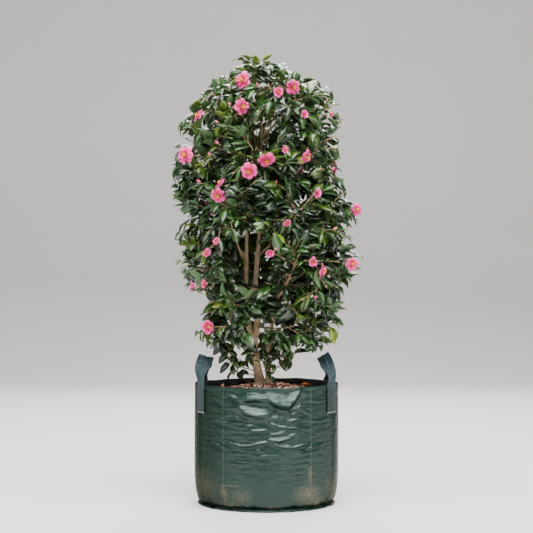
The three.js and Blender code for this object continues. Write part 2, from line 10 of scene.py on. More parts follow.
import bmesh
import bpy
import numpy as np
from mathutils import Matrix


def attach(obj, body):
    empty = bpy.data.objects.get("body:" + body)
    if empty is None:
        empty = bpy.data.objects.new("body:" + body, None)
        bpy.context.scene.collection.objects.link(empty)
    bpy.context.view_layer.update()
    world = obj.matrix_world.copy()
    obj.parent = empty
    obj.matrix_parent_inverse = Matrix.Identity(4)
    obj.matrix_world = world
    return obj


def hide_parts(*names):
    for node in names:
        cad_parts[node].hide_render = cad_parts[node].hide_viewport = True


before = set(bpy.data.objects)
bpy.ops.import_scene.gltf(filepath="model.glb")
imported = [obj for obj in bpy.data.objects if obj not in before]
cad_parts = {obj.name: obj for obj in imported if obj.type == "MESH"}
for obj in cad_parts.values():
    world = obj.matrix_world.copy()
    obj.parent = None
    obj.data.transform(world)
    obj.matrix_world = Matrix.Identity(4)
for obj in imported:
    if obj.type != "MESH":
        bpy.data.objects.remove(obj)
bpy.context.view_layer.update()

UP = np.array([0.0, 0.0, 1.0])
MM = 0.001

# The photograph's viewpoint: level with the lower crown, tilted up a little
EYE_DISTANCE = 4.47
EYE_HEIGHT = 0.6876
EYE_TILT = 1.68
LENS = 86.4
SENSOR = 36.0


def set_camera():
    bpy.ops.object.select_all(action="DESELECT")
    bpy.ops.object.camera_add(
        location=(0, -EYE_DISTANCE, EYE_HEIGHT), rotation=(math.radians(90 + EYE_TILT), 0, 0))
    camera = bpy.context.object
    camera.name = "camera"
    camera.data.lens = LENS
    camera.data.sensor_width = SENSOR
    bpy.context.scene.camera = camera


set_camera()

# The planter bag, its mix and its handles; the bag's wall is thinner than the solid's
BAG_RADIUS = 0.250
BAG_HEIGHT = 0.414
BAG_WALL = 0.0016
TAPE_WIDTH = 2.5 * MM
HEM_PROUD = 0.001
FOLD_LINES = (-35.3, 36.6, 144.7, 216.6)
MOUND_HEIGHT = 0.408
MOUND_RADIUS = 0.075
MIX_AT_WALL = 0.374
STRAP_WIDTH = 0.052
STRAP_THICKNESS = 0.0018
RIB_PITCH = 4 * MM
YARN_PITCH = 2.5 * MM
STRAP_FOOT = 0.319
LEG_AZIMUTH = 62.4
HANDLE_TOP = 0.509
HANDLE_ROOM = 0.160

# The crown: height, then its reach to the left and right of its own axis. The lowest rows are a little wider
# than the solids' ones, because the finest leaves hang lower.
CROWN_AXIS = -0.025
DEPTH_SHARE = 0.93
CROWN = np.array([
    (0.425, 0.120, 0.095),
    (0.480, 0.150, 0.118),
    (0.518, 0.165, 0.150),
    (0.530, 0.185, 0.225),
    (0.553, 0.235, 0.285),
    (0.650, 0.228, 0.305),
    (0.760, 0.278, 0.345),
    (0.830, 0.308, 0.366),
    (0.940, 0.314, 0.350),
    (0.980, 0.268, 0.352),
    (1.030, 0.308, 0.352),
    (1.090, 0.323, 0.306),
    (1.200, 0.312, 0.292),
    (1.365, 0.278, 0.292),
    (1.430, 0.220, 0.270),
    (1.490, 0.162, 0.182),
    (1.535, 0.112, 0.110),
    (1.562, 0.096, 0.062),
    (1.572, 0.064, 0.048),
])

# The open windows in the front of the crown where the stems show: middle and half size
WINDOWS = np.array([
    ((-0.042, -0.170, 0.838), (0.064, 0.165, 0.116)),
    ((-0.006, -0.160, 1.262), (0.046, 0.165, 0.060)),
    ((-0.036, -0.130, 0.596), (0.030, 0.150, 0.052)),
    ((-0.026, -0.130, 0.430), (0.030, 0.150, 0.052)),
    ((-0.250, -0.040, 0.700), (0.056, 0.200, 0.036)),
    ((-0.120, -0.110, 0.535), (0.034, 0.110, 0.022)),
    ((0.060, -0.110, 0.610), (0.034, 0.130, 0.022)),
])

# The masses of foliage: level, height, share of the reach, how tall and how wide, then each one's azimuth
LEVELS = (
    ("base", 0.474, 0.62, 0.090, 120, {"left": -78, "right": 62}),
    ("skirt", 0.612, 0.60, 0.200, 84,
     {"left": -104, "front_left": -38, "front_right": 38, "right": 100, "back": 178}),
    ("low", 0.815, 0.62, 0.200, 84,
     {"left": -80, "front_right": 30, "right": 92, "back_right": 152, "back_left": -145}),
    ("middle", 1.010, 0.62, 0.195, 84,
     {"left": -95, "front_left": -30, "front_right": 38, "right": 105, "back": 176}),
    ("high", 1.205, 0.62, 0.195, 84,
     {"left": -76, "front": -6, "right": 62, "back_right": 132, "back_left": -150}),
    ("shoulder", 1.385, 0.56, 0.170, 125, {"left": -75, "front_right": 42, "back": 165}),
    ("top", 1.492, 0.0, 0.130, 360, {"middle": 0}),
)
ON_BOUGHS = {
    "skirt_left", "skirt_right", "low_left", "low_front_right", "low_right", "low_back_left", "middle_left",
    "middle_right", "middle_back", "high_left", "high_right", "high_back_right", "shoulder_front_right",
}
FOOT = 0.4083
BOUGH_GIRTH = 6.5 * MM
BOUGH_TIP = 4.2 * MM
STEM_TIP = 1.7 * MM
RISE = 0.85
BOUGH_SHARE = 0.6
ROUTE_GAP = 3 * MM
BALL_STEP = 8 * MM
SHIFTS = (0, 0.026, -0.026, 0.052, -0.052, 0.078, -0.078)

# Finer growth: twigs from each mass's stem, shoots from each twig, leaves on both
OUTER_TWIGS = {"base": 2, "skirt": 10, "low": 14, "middle": 16, "high": 16, "shoulder": 13, "top": 8}
INNER_TWIGS = {"base": 0, "skirt": 4, "low": 7, "middle": 8, "high": 8, "shoulder": 4, "top": 0}
TWIG_GIRTH = 2.0 * MM
TWIG_TIP = 0.9 * MM
SHOOT_GIRTH = 1.1 * MM
SHOOT_TIP = 0.7 * MM
SHOOT_SPACING = 0.040
SHOOT_LENGTHS = (0.045, 0.080)
STALK_GIRTH = 0.0010
STALK_TIP = 0.0007
# The shares of the crown's reach at which inner and outer twigs end
INNER_SHARES = (0.35, 0.72)
OUTER_SHARES = (0.80, 1)
LEAFY_LENGTH = 0.105
LEAF_LENGTH = 0.058
LEAF_SCALES = (0.74, 1.14)
# Degrees between a leaf and its twig at the twig's foot, and how much that closes by its tip
LEAF_OPENINGS = (40, 66)
TIP_CLOSING = 26
LEAF_SPACING = 0.0120
LEAF_APART = 0.0085
LEAF_CLEARANCE = 3 * MM
LEAF_SIZE = 1.10
LEAF_ROOM = 0.054
LOW_LEAF_SIZE = 0.95
LOW_LEAF_ROOM = 0.030
FLOWER_BUD_CHANCE = 0.075
CANDIDATES = 20
TRIES = 5
NEXT_TRY_TURN = 1.9
SHORTER_TRIES = (1.0, 0.7, 0.45)

# Blooms seen in the photograph: across and up in the plane of the trunk, diameter, and the way each faces
FRONT_BLOOMS = (
    (-0.086, 1.474, 0.057, -36, 8), (-0.085, 1.380, 0.050, 36, -8), (0.096, 1.448, 0.047, 26, -14),
    (0.041, 1.431, 0.031, 16, -5), (-0.242, 1.350, 0.042, -58, 25), (-0.286, 1.210, 0.052, -24, 5),
    (0.001, 1.190, 0.052, 12, -48), (-0.062, 1.152, 0.050, -8, -20), (-0.165, 1.113, 0.038, -62, 42),
    (-0.170, 1.067, 0.048, -20, -34), (0.142, 1.201, 0.048, 60, -20), (0.318, 1.018, 0.040, 28, 5),
    (0.300, 0.828, 0.042, 18, 0), (0.198, 0.803, 0.054, 80, -12), (-0.205, 0.608, 0.040, 14, 5),
)
# Smaller, half-open and half-hidden ones
MORE_BLOOMS = (
    (-0.208, 0.867, 0.026, 30, -20), (-0.176, 0.907, 0.022, -30, 0), (-0.215, 0.759, 0.030, -60, 0),
    (-0.256, 0.750, 0.034, -84, 0), (0.162, 0.835, 0.030, 25, -15), (0.066, 1.228, 0.022, 20, -10),
    (0.131, 1.352, 0.024, 35, 0), (0.176, 1.074, 0.024, 30, -5), (0.226, 1.352, 0.028, 80, 5),
    (0.010, 0.868, 0.024, 15, -40), (0.072, 0.970, 0.024, 20, -35),
)
# Flower buds: across and up in the plane of the trunk
FRONT_BUDS = (
    (-0.033, 1.459), (0.006, 1.456), (-0.132, 1.391), (-0.177, 1.328), (-0.176, 1.256), (-0.201, 1.214),
    (0.235, 1.163), (0.244, 1.239), (0.243, 0.953), (0.173, 0.712), (-0.240, 1.120),
)
HIDDEN_BLOOMS = 18
LEAST_BLOOM_AZIMUTH = 98
BUD_WIDTH = 0.016
# How far leaves keep off a bloom, and how far in front of it
BLOOM_GAP = 0.006
BLOOM_VIEW = 0.12
FILAMENT_GIRTH = 0.45 * MM
FILAMENT_TIP = 0.3 * MM

# The tips of the shoots that stand out of the crown against the sky: across, depth and height
LEADERS = (
    (-0.080, -0.010, 1.540), (-0.014, 0.015, 1.545), (0.058, -0.015, 1.515), (0.160, 0.005, 1.478),
    (-0.150, 0.020, 1.478), (0.232, -0.015, 1.432), (-0.222, -0.015, 1.412), (-0.280, 0.010, 1.330),
    (0.262, 0.030, 1.330), (-0.306, -0.020, 1.175), (0.262, -0.010, 1.230), (0.314, 0.020, 1.000),
    (0.226, -0.030, 0.600), (0.190, -0.070, 0.590), (0.240, 0.010, 0.640), (0.150, -0.060, 0.572),
    (-0.200, -0.040, 0.585),
    (-0.020, 0.095, 1.500), (0.085, 0.120, 1.450), (-0.110, 0.130, 1.440), (-0.030, -0.120, 1.470),
    (-0.137, -0.030, 0.520), (-0.120, -0.045, 0.476), (-0.092, -0.055, 0.498), (-0.150, 0.020, 0.492),
    (0.078, -0.030, 0.505), (0.050, -0.050, 0.478), (0.040, -0.060, 0.520), (0.082, 0.030, 0.485),
)


def unit(vector):
    return vector / np.maximum(np.linalg.norm(vector, axis=-1, keepdims=True), 1e-12)


def outwards(azimuth):
    turn = np.radians(np.asarray(azimuth, float))
    return np.stack([np.sin(turn), -np.cos(turn), np.zeros_like(turn)], axis=-1)


# The crown's outline


def crown_sides(height):
    left = np.interp(height, CROWN[:, 0], CROWN[:, 1], right=0)
    right = np.interp(height, CROWN[:, 0], CROWN[:, 2], right=0)
    return left, right


def reach_at(azimuth, height):
    left, right = crown_sides(height)
    turn = np.radians(azimuth)
    across = np.maximum(np.where(np.sin(turn) < 0, left, right), 1e-6)
    deep = np.maximum((left + right) / 2 * DEPTH_SHARE, 1e-6)
    return 1 / np.hypot(np.sin(turn) / across, np.cos(turn) / deep)


def on_crown(azimuth, height, distance):
    return outwards(azimuth) * distance + np.array([CROWN_AXIS, 0, height])


def azimuth_of(point):
    return np.degrees(np.arctan2(point[..., 0] - CROWN_AXIS, -point[..., 1]))


def share_of_reach(point):
    across = np.hypot(point[..., 0] - CROWN_AXIS, point[..., 1])
    return across / reach_at(azimuth_of(point), point[..., 2])


def in_window(points):
    return any((np.linalg.norm((points - middle) / half, axis=-1) < 1).any() for middle, half in WINDOWS)


# Lines: the course and the radius of a limb, stem or twig, each by the way along it from 0 to 1


class Line:
    def __init__(self, name, course, radius):
        self.name = name
        self.course = course
        self.radius = radius

    def length(self):
        points = self.course(np.linspace(0, 1, 40))
        return float(np.linalg.norm(np.diff(points, axis=0), axis=1).sum())

    def heading(self, t):
        return unit(self.course(min(1.0, t + 0.01)) - self.course(max(0.0, t - 0.01)))

    def balls(self):
        count = math.ceil(self.length() / BALL_STEP)
        t = np.linspace(0, 1, count + 1)
        return self.course(t), self.radius(t) * np.ones(count + 1)

    def at_height(self, height):
        t = np.linspace(0, 1, 400)
        return float(np.interp(height, self.course(t)[:, 2], t))


def through(places):
    """A smooth course through some places."""
    places = np.array(places, float)
    knots = np.vstack([2 * places[0] - places[1], places, 2 * places[-1] - places[-2]])
    gaps = np.sqrt(np.linalg.norm(np.diff(knots, axis=0), axis=1))

    def course(t):
        way = np.clip(np.asarray(t, float), 0, 1) * (len(places) - 1)
        i = np.minimum(way.astype(int), len(places) - 2)
        w = (way - i)[..., None]
        a, b, c, d = (knots[i + k] for k in range(4))
        g, h, k = (gaps[i + n][..., None] for n in range(3))
        leaving = ((b - a) / g - (c - a) / (g + h) + (c - b) / h) * h
        meeting = ((c - b) / h - (d - b) / (h + k) + (d - c) / k) * h
        return b + leaving * w + (3 * (c - b) - 2 * leaving - meeting) * w**2 + (
            2 * (b - c) + leaving + meeting) * w**3

    return course


def bowed(start, middle, end):
    """A course that bends once, from start to end."""
    def course(t):
        t = np.asarray(t, float)[..., None]
        return (1 - t) ** 2 * start + 2 * t * (1 - t) * middle + t**2 * end

    return course


def bent(name, start, middle, end, girth, tip):
    """A thin line that bends once and tapers"""
    return Line(name, bowed(start, middle, end), taper(girth, tip))


def stretch(course, low, high):
    return lambda t: course(low + (high - low) * np.asarray(t, float))


def taper(girth, tip):
    return lambda t: girth + (tip - girth) * np.asarray(t, float)


def limb(name, places, girth, tip, flare=0.0, flare_reach=0.05):
    def radius(t):
        t = np.asarray(t, float)
        return (tip + (girth - tip) * (1 - t) ** 0.9 + flare * np.exp(-t / flare_reach)) * MM

    return Line(name, through(places), radius)


trunk = limb(
    "trunk",
    [(-0.022, 0, FOOT), (-0.034, -0.003, 0.480), (-0.042, -0.005, 0.545), (-0.031, -0.006, 0.640),
     (-0.039, -0.005, 0.754), (-0.027, 0, 0.900), (-0.020, 0.008, 1.120), (-0.017, 0.005, 1.330)],
    16, 4, flare=5, flare_reach=0.03)
left_leader = limb(
    "left_leader",
    [(-0.040, -0.005, 0.536), (-0.062, -0.010, 0.612), (-0.072, -0.012, 0.700), (-0.070, -0.011, 0.850),
     (-0.068, 0, 1.000), (-0.052, 0.004, 1.230)],
    11.5, 4)
back_stem = limb(
    "back_stem",
    [(0.008, 0.027, FOOT), (0.004, 0.034, 0.500), (0.022, 0.054, 0.640), (0.038, 0.062, 0.840),
     (0.040, 0.058, 1.000), (0.034, 0.048, 1.170)],
    9.5, 3.8, flare=2.5, flare_reach=0.04)
STEMS = (trunk, left_leader, back_stem)

# Boughs and low sprays that show in the photograph leave their stem at a height and with a bow of their own.
SEEN = {
    "low_left": (trunk, 0.762, (-0.006, -0.084, -0.008)),
    "low_front_right": (trunk, 0.584, (0.022, -0.016, -0.026)),
    "middle_left": (left_leader, 0.850, (0, -0.010, 0.014)),
    "base_left": (trunk, 0.452, (0, -0.010, 0.006)),
    "base_right": (back_stem, 0.456, (0.004, -0.016, -0.004)),
}


class Balls:
    """Balls along the limbs and stems, which routes and leaves keep clear of"""

    def __init__(self):
        self.middles = np.empty((0, 3))
        self.radii = np.empty(0)
        self.owners = np.empty(0, dtype=object)

    def add(self, middles, radii, owner):
        self.middles = np.vstack([self.middles, middles])
        self.radii = np.concatenate([self.radii, radii])
        self.owners = np.concatenate([self.owners, np.full(len(radii), owner, dtype=object)])

    def meet(self, points, radii, gap, but):
        others = self.owners != but
        away = np.linalg.norm(points[:, None] - self.middles[others][None], axis=2)
        return bool((away < self.radii[others] + np.reshape(radii, (-1, 1)) + gap).any())


balls = Balls()
for stem in STEMS:
    balls.add(*stem.balls(), stem.name)


def settled_masses():
    """Every mass of foliage with its centre, and its bough and stem on a route clear of the other limbs"""
    masses = []
    for level, height, share, tall, spread, sides in LEVELS:
        for side, azimuth in sides.items():
            centre = on_crown(azimuth, height, reach_at(azimuth, height) * share)
            masses.append(SimpleNamespace(
                name=f"{level}_{side}", level=level, azimuth=azimuth, height=height, tall=tall, spread=spread,
                centre=centre, bough=None))
    for mass in masses:
        stem, height, bow = holder_of(mass)
        surface = on_crown(mass.azimuth, mass.height, reach_at(mass.azimuth, mass.height))
        end = mass.centre + 0.3 * (surface - mass.centre)
        if mass.level == "top":
            end = mass.centre + 0.026 * UP
        slim = 0.55 if mass.level == "base" else 1
        for shift in SHIFTS:
            start = stem.course(stem.at_height(height + shift))
            bend = -0.07 * np.linalg.norm(end - start) * UP if bow is None else np.array(bow)
            whole = bowed(start, (start + end) / 2 + bend, end)
            share = BOUGH_SHARE if mass.name in ON_BOUGHS else 0
            mass.stem = Line(mass.name, stretch(whole, share, 1), taper(BOUGH_TIP * slim, STEM_TIP * slim))
            parts = [mass.stem]
            if share:
                lower = stretch(whole, 0, share)
                mass.bough = Line(f"bough_{mass.name}", lower, taper(BOUGH_GIRTH, BOUGH_TIP))
                parts.append(mass.bough)
            if not any(balls.meet(*part.balls(), ROUTE_GAP, stem.name) for part in parts):
                break
        for part in parts:
            balls.add(*part.balls(), mass.name)
    return masses


def holder_of(mass):
    """The stem that carries a mass, the height at which its bough leaves, and the bough's bow"""
    if mass.name in SEEN:
        return SEEN[mass.name]
    found = []
    for stem in STEMS:
        wanted = mass.centre[2] - RISE * math.hypot(mass.centre[0], mass.centre[1])
        height = min(max(wanted, FOOT + 0.150), stem.course(1)[2] - 0.012)
        away = np.linalg.norm(stem.course(stem.at_height(height)) - mass.centre)
        found.append((away, len(found), stem, height))
    _, _, stem, height = min(found)
    return stem, height, None


masses = settled_masses()
centres = np.array([mass.centre for mass in masses])


def inside_cell(mass, point, margin):
    """The walls between neighbouring masses lie midway between their centres."""
    across = centres - mass.centre
    width = np.linalg.norm(across, axis=1)
    other = width > 1e-9
    offset = (across[other] @ (point - mass.centre)) / width[other]
    return bool((offset <= width[other] / 2 - margin).all())


def clear_of_pot(points):
    over_handle = (np.abs(points[:, 0]) > HANDLE_ROOM) & (np.abs(points[:, 1]) < HANDLE_ROOM)
    return bool((points[:, 2] > np.where(over_handle, HANDLE_TOP + 0.010, BAG_HEIGHT + 0.008)).all())


# Selecting and modelling


def begin(add_primitive, name, **size):
    """Adds a primitive with nothing else selected and opens it for editing, with nothing in it selected."""
    bpy.ops.object.select_all(action="DESELECT")
    add_primitive(**size)
    piece = bpy.context.object
    piece.name = name
    piece.data.name = name
    bpy.ops.object.mode_set(mode="EDIT")
    bpy.ops.mesh.select_all(action="DESELECT")
    return piece


def end_edit():
    bpy.ops.object.mode_set(mode="OBJECT")
    bpy.ops.object.transform_apply(location=True, rotation=True, scale=True)


def pick(kind, test):
    """In edit mode, selects the vertices, edges or faces that pass a test, and nothing else."""
    bpy.ops.mesh.select_mode(type=kind)
    bpy.ops.mesh.select_all(action="DESELECT")
    mesh = bmesh.from_edit_mesh(bpy.context.object.data)
    parts = {"VERT": mesh.verts, "EDGE": mesh.edges, "FACE": mesh.faces}[kind]
    parts.index_update()
    for part in parts:
        part.select_set(bool(test(part)))
    mesh.select_flush_mode()
    bmesh.update_edit_mesh(bpy.context.object.data)


def pick_all():
    bpy.ops.mesh.select_all(action="SELECT")


def resize(x, y, z):
    bpy.ops.transform.resize(value=(x, y, z))


def slide(x, y, z):
    bpy.ops.transform.translate(value=(x, y, z))


def second_finish(piece):
    """In edit mode, gives the selected faces the second of two finishes."""
    piece.data.materials.append(None)
    piece.data.materials.append(None)
    piece.active_material_index = 1
    bpy.ops.object.material_slot_assign()


def modify(piece, kind, **settings):
    modifier = piece.modifiers.new(kind, kind)
    for name, value in settings.items():
        setattr(modifier, name, value)
    bpy.ops.object.modifier_apply(modifier=kind)


def read(parts, name, width=1, kind=float):
    """One property of all vertices, corners or faces as an array, in rows where it is wider than 1"""
    values = np.empty(len(parts) * width, kind)
    parts.foreach_get(name, values)
    return values.reshape(-1, width) if width > 1 else values


def write(parts, name, values, kind=np.float32):
    parts.foreach_set(name, np.ascontiguousarray(values, kind).ravel())


def places_of(piece):
    return read(piece.data.vertices, "co", 3)


def move_places(piece, places):
    write(piece.data.vertices, "co", places)
    piece.data.update()


def corners_of(piece):
    return read(piece.data.loops, "vertex_index", kind=np.int32)


def write_uv(piece, across, along):
    """Gives each vertex of a piece its place in the pattern, in metres of cloth or bark."""
    layer = piece.data.uv_layers.get("UVMap") or piece.data.uv_layers.new(name="UVMap")
    write(layer.data, "uv", np.stack([across, along], axis=1)[corners_of(piece)])


def turns_of(places):
    """How far round the Z axis places lie from the front, in radians"""
    return np.arctan2(places[:, 0], -places[:, 1])


def deal_finishes(piece, test):
    """Gives each face the number of its finish, from the places of the faces' middles."""
    faces = piece.data.polygons
    write(faces, "material_index", test(read(faces, "center", 3)), np.int32)


def present(piece, slot, materials, *nodes):
    """Finishes a piece: its materials, its body and the solids that it stands for. Its slot is not used."""
    for material in materials:
        piece.data.materials.append(material)
    piece.data.shade_smooth()
    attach(piece, "root")
    if nodes:
        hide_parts(*nodes)
    return piece


# Small things modelled once and set down many times in one joined mesh


def shape_of(piece):
    """Takes a modelled piece out of the scene as arrays."""
    mesh = piece.data
    shape = SimpleNamespace(
        places=places_of(piece), corners=corners_of(piece),
        sizes=read(mesh.polygons, "loop_total", kind=np.int32),
        finishes=read(mesh.polygons, "material_index", kind=np.int32),
        uv=read(mesh.uv_layers[0].data, "uv", 2) if mesh.uv_layers else np.zeros((len(mesh.loops), 2)))
    bpy.data.objects.remove(piece)
    return shape


class Heap:
    """Small things gathered as arrays and joined into one mesh"""

    def __init__(self):
        self.count = 0
        self.parts = []

    def add(self, places, shape, finish=0):
        finishes = shape.finishes + finish
        self.parts.append((places, shape.corners + self.count, shape.sizes, finishes, shape.uv))
        self.count += len(places)

    def put(self, shape, foot, along, facing, size=1.0, finish=0):
        """Adds a shape that was made along Y and facing Z, turned and moved to its place."""
        along = unit(along)
        face = unit(facing - (facing @ along) * along)
        basis = np.stack([np.cross(along, face), along, face])
        self.add((shape.places * size) @ basis + foot, shape, finish)

    def joined(self, name):
        places, corners, sizes, finishes, uv = (np.concatenate(column) for column in zip(*self.parts))
        mesh = bpy.data.meshes.new(name)
        mesh.vertices.add(len(places))
        write(mesh.vertices, "co", places)
        mesh.loops.add(len(corners))
        write(mesh.loops, "vertex_index", corners, np.int32)
        mesh.polygons.add(len(sizes))
        write(mesh.polygons, "loop_start", np.cumsum(sizes) - sizes, np.int32)
        write(mesh.polygons, "material_index", finishes, np.int32)
        write(mesh.uv_layers.new(name="UVMap").data, "uv", uv)
        mesh.update(calc_edges=True)
        mesh.validate()
        piece = bpy.data.objects.new(name, mesh)
        bpy.context.scene.collection.objects.link(piece)
        return piece


TUBES = {}


def tube_shape(sides, steps):
    """The faces of a closed tube whose rings follow one another"""
    if (sides, steps) not in TUBES:
        corners = []
        for i in range(steps):
            for j in range(sides):
                a, b = i * sides + j, i * sides + (j + 1) % sides
                corners += [a, b, b + sides, a + sides]
        corners += list(range(sides))[::-1]
        corners += range(steps * sides, (steps + 1) * sides)
        sizes = [4] * (steps * sides) + [sides, sides]
        TUBES[sides, steps] = SimpleNamespace(
            corners=np.array(corners), sizes=np.array(sizes), finishes=np.zeros(len(sizes), int),
            uv=np.zeros((len(corners), 2)))
    return TUBES[sides, steps]


def frames_along(line, steps, upright_foot=False):
    """Steps along a line: the way along it, the places, and two directions across, which don't twist"""
    t = np.linspace(0, 1, steps + 1)
    middles = line.course(t)
    runs = unit(np.gradient(middles, axis=0))
    side = np.array([0.0, 1.0, 0.0]) if abs(runs[0][0]) > 0.8 else np.array([1.0, 0.0, 0.0])
    if upright_foot:
        runs[0] = UP
    flanks = []
    for run in runs:
        side = unit(side - (side @ run) * run)
        flanks.append(side)
    flanks = np.array(flanks)
    return t, middles, flanks, np.cross(runs, flanks)


def add_tube(heap, line, sides, steps):
    t, middles, flanks, fronts = frames_along(line, steps)
    turn = (np.arange(sides) * 2 * math.pi / sides)[:, None]
    radius = (line.radius(t) * np.ones(steps + 1))[:, None, None]
    rings = middles[:, None] + radius * (np.cos(turn) * flanks[:, None] + np.sin(turn) * fronts[:, None])
    heap.add(rings.reshape(-1, 3), tube_shape(sides, steps))


def blade(name, rows, columns, thickness, sweep=0.0):
    """A leaf or a petal, made along Y and facing Z, as one closed skin. Each row gives how far along it is,
    its half width, how high it lifts and how far its edges rise above its middle."""
    across = columns + 1
    piece = begin(
        bpy.ops.mesh.primitive_grid_add, name, x_subdivisions=columns, y_subdivisions=len(rows) - 1, size=2,
        calc_uvs=True)
    count = across * len(rows)
    length = rows[-1][0]
    for i, (along, half, lift, rise) in enumerate(rows):
        pick("VERT", lambda v: v.index // across == i)
        level = 2 * i / (len(rows) - 1) - 1
        resize(max(half, 1e-6), 1, 1)
        slide(sweep * (along / length) ** 2, along - level, lift)
        for share in {abs(2 * c / columns - 1) for c in range(across)} - {0}:
            pick("VERT", lambda v: v.index // across == i and
                 abs(abs(2 * (v.index % across) / columns - 1) - share) < 1e-6)
            slide(0, 0, rise * share**1.4)
    pick_all()
    bpy.ops.mesh.duplicate()
    bpy.ops.mesh.flip_normals()
    pick("VERT", lambda v: v.index >= count and 0 < (v.index - count) % across < columns and
         v.index - count < count - across)
    slide(0, 0, -thickness)
    pick_all()
    bpy.ops.mesh.remove_doubles(threshold=1e-5)
    pick("FACE", lambda f: f.normal.z < 0)
    second_finish(piece)
    end_edit()
    return shape_of(piece)


# Along a leaf or a petal, and its share of the full half width there
LEAF_OUTLINE = (
    (0.0, 0.03), (0.09, 0.045), (0.19, 0.62), (0.34, 0.95), (0.52, 1.0), (0.70, 0.84), (0.87, 0.44),
    (1.0, 0.0),
)
PETAL_OUTLINE = ((0.0, 0.16), (0.25, 0.62), (0.52, 0.96), (0.78, 1.0), (0.95, 0.62), (1.0, 0.30))


def leaf_shape(name, half, arch, fold, sweep):
    """A camellia leaf: a short stalk, an elliptic blade folded at its rib, and a drawn-out tip that hangs"""
    rows = []
    for along, width in LEAF_OUTLINE:
        lift = arch * (4 * 0.35 * along * (1 - along) - along**3)
        rows.append((along * LEAF_LENGTH, half * width, lift, fold * width))
    return blade(name, rows, 2, 0.9 * MM, sweep)


def petal_shape(name, half, curl, cup, notch):
    """A petal 1 long: a narrow claw, a broad round end with a notch, and a rim that curls"""
    rows = []
    for along, width in PETAL_OUTLINE:
        rows.append((along, half * width, curl * along**2 - 0.10 * along, cup * width))
    rows[-1] = (1.0 - notch, half * 0.34, rows[-1][2], rows[-1][3])
    return blade(name, rows, 4, 0.012)


def bud_shape(name, length, girth, point, tipped):
    """A bud along Y: round at its foot, drawn to a point, with its scales below and its colour above"""
    piece = begin(bpy.ops.mesh.primitive_uv_sphere_add, name, segments=6, ring_count=5, radius=0.5)
    pick_all()
    resize(girth, girth, length)
    slide(0, 0, length / 2)
    pick("VERT", lambda v: v.co.z > 0.6 * length)
    resize(point, point, 1.12)
    pick("FACE", lambda f: f.calc_center_median().z > tipped * length)
    second_finish(piece)
    end_edit()
    shape = shape_of(piece)
    shape.places = shape.places[:, [0, 2, 1]] * np.array([-1, 1, 1])
    return shape


def anther_shape():
    piece = begin(bpy.ops.mesh.primitive_uv_sphere_add, "anther", segments=4, ring_count=3, radius=0.5)
    pick_all()
    resize(1, 1, 1.5)
    pick("VERT", lambda v: v.co.z < 0)
    resize(0.7, 0.7, 1)
    end_edit()
    return shape_of(piece)


LEAF_SHAPES = (
    leaf_shape("flat_leaf", 14.0 * MM, 6 * MM, 2.0 * MM, 1 * MM),
    leaf_shape("hanging_leaf", 13.2 * MM, 14 * MM, 3.5 * MM, -2 * MM),
    leaf_shape("swept_leaf", 12.2 * MM, 9 * MM, 4.5 * MM, 6 * MM),
    leaf_shape("broad_leaf", 15.4 * MM, 4 * MM, 2.5 * MM, -3 * MM),
)
PETAL_SHAPES = (
    petal_shape("petal", 0.40, -0.10, 0.10, 0.05),
    petal_shape("curled_petal", 0.43, -0.26, 0.06, 0.09),
    petal_shape("cupped_petal", 0.37, 0.12, 0.17, 0.03),
)
LEAF_BUD = bud_shape("leaf_bud", 8 * MM, 3.0 * MM, 0.6, 2.0)
FLOWER_BUD = bud_shape("flower_bud", 14 * MM, 9.5 * MM, 0.7, 0.45)
ANTHER = anther_shape()


# Blooms and buds


def from_view(x, height):
    """Where a place seen in the plane of the trunk lies on the front of the crown"""
    left, right = crown_sides(height)
    across = left if x < CROWN_AXIS else right
    share = min(0.985, abs(x - CROWN_AXIS) / across)
    y = -(left + right) / 2 * DEPTH_SHARE * math.sqrt(1 - share**2) * 0.9
    nearer = (EYE_DISTANCE + y) / EYE_DISTANCE
    return np.array([x * nearer, y, EYE_HEIGHT + (height - EYE_HEIGHT) * nearer])


# Steps that spread places evenly over the azimuths and the heights
EVEN_AZIMUTHS = 0.7548777
EVEN_HEIGHTS = 0.5698403
# The angle between one leaf or stamen and the next round their axis
GOLDEN_TURN = 2.399963


def bloom_places():
    places = [(from_view(x, height), *rest) for x, height, *rest in FRONT_BLOOMS + MORE_BLOOMS]
    for x, height in FRONT_BUDS:
        place = from_view(x, height)
        places.append((place, BUD_WIDTH, float(azimuth_of(place)), 25))
    random = np.random.default_rng(41)
    for i in range(HIDDEN_BLOOMS):
        azimuth = LEAST_BLOOM_AZIMUTH + (360 - 2 * LEAST_BLOOM_AZIMUTH) * ((0.5 + i * EVEN_AZIMUTHS) % 1)
        height = 0.620 + 0.850 * ((0.5 + i * EVEN_HEIGHTS) % 1)
        place = on_crown(azimuth, height, reach_at(azimuth, height) * 0.9)
        width = random.uniform(0.044, 0.062)
        places.append((place, width, azimuth + random.uniform(-15, 15), random.uniform(-8, 12)))
    blooms = []
    for place, width, azimuth, tilt in places:
        facing = outwards(azimuth) * math.cos(math.radians(tilt)) + UP * math.sin(math.radians(tilt))
        blooms.append(SimpleNamespace(place=place, width=width, facing=facing))
    return blooms


blooms = bloom_places()
bloom_middles, bloom_facings, bloom_widths = (
    np.array([getattr(bloom, name) for bloom in blooms]) for name in ("place", "facing", "width"))


def hides_bloom(points):
    """True where a leaf would stand in a bloom or in front of its face."""
    offset = points[:, None] - bloom_middles[None]
    ahead = (offset * bloom_facings[None]).sum(axis=2)
    aside = np.linalg.norm(offset - ahead[..., None] * bloom_facings[None], axis=2)
    near = aside < bloom_widths * 0.5 + BLOOM_GAP
    return bool(((ahead > -BLOOM_GAP) & (ahead < BLOOM_VIEW) & near).any())


def spoke_of(bloom, angle):
    """A direction across a bloom's face"""
    side = unit(np.cross(UP + 0.01, bloom.facing))
    return side * math.cos(angle) + np.cross(bloom.facing, side) * math.sin(angle)


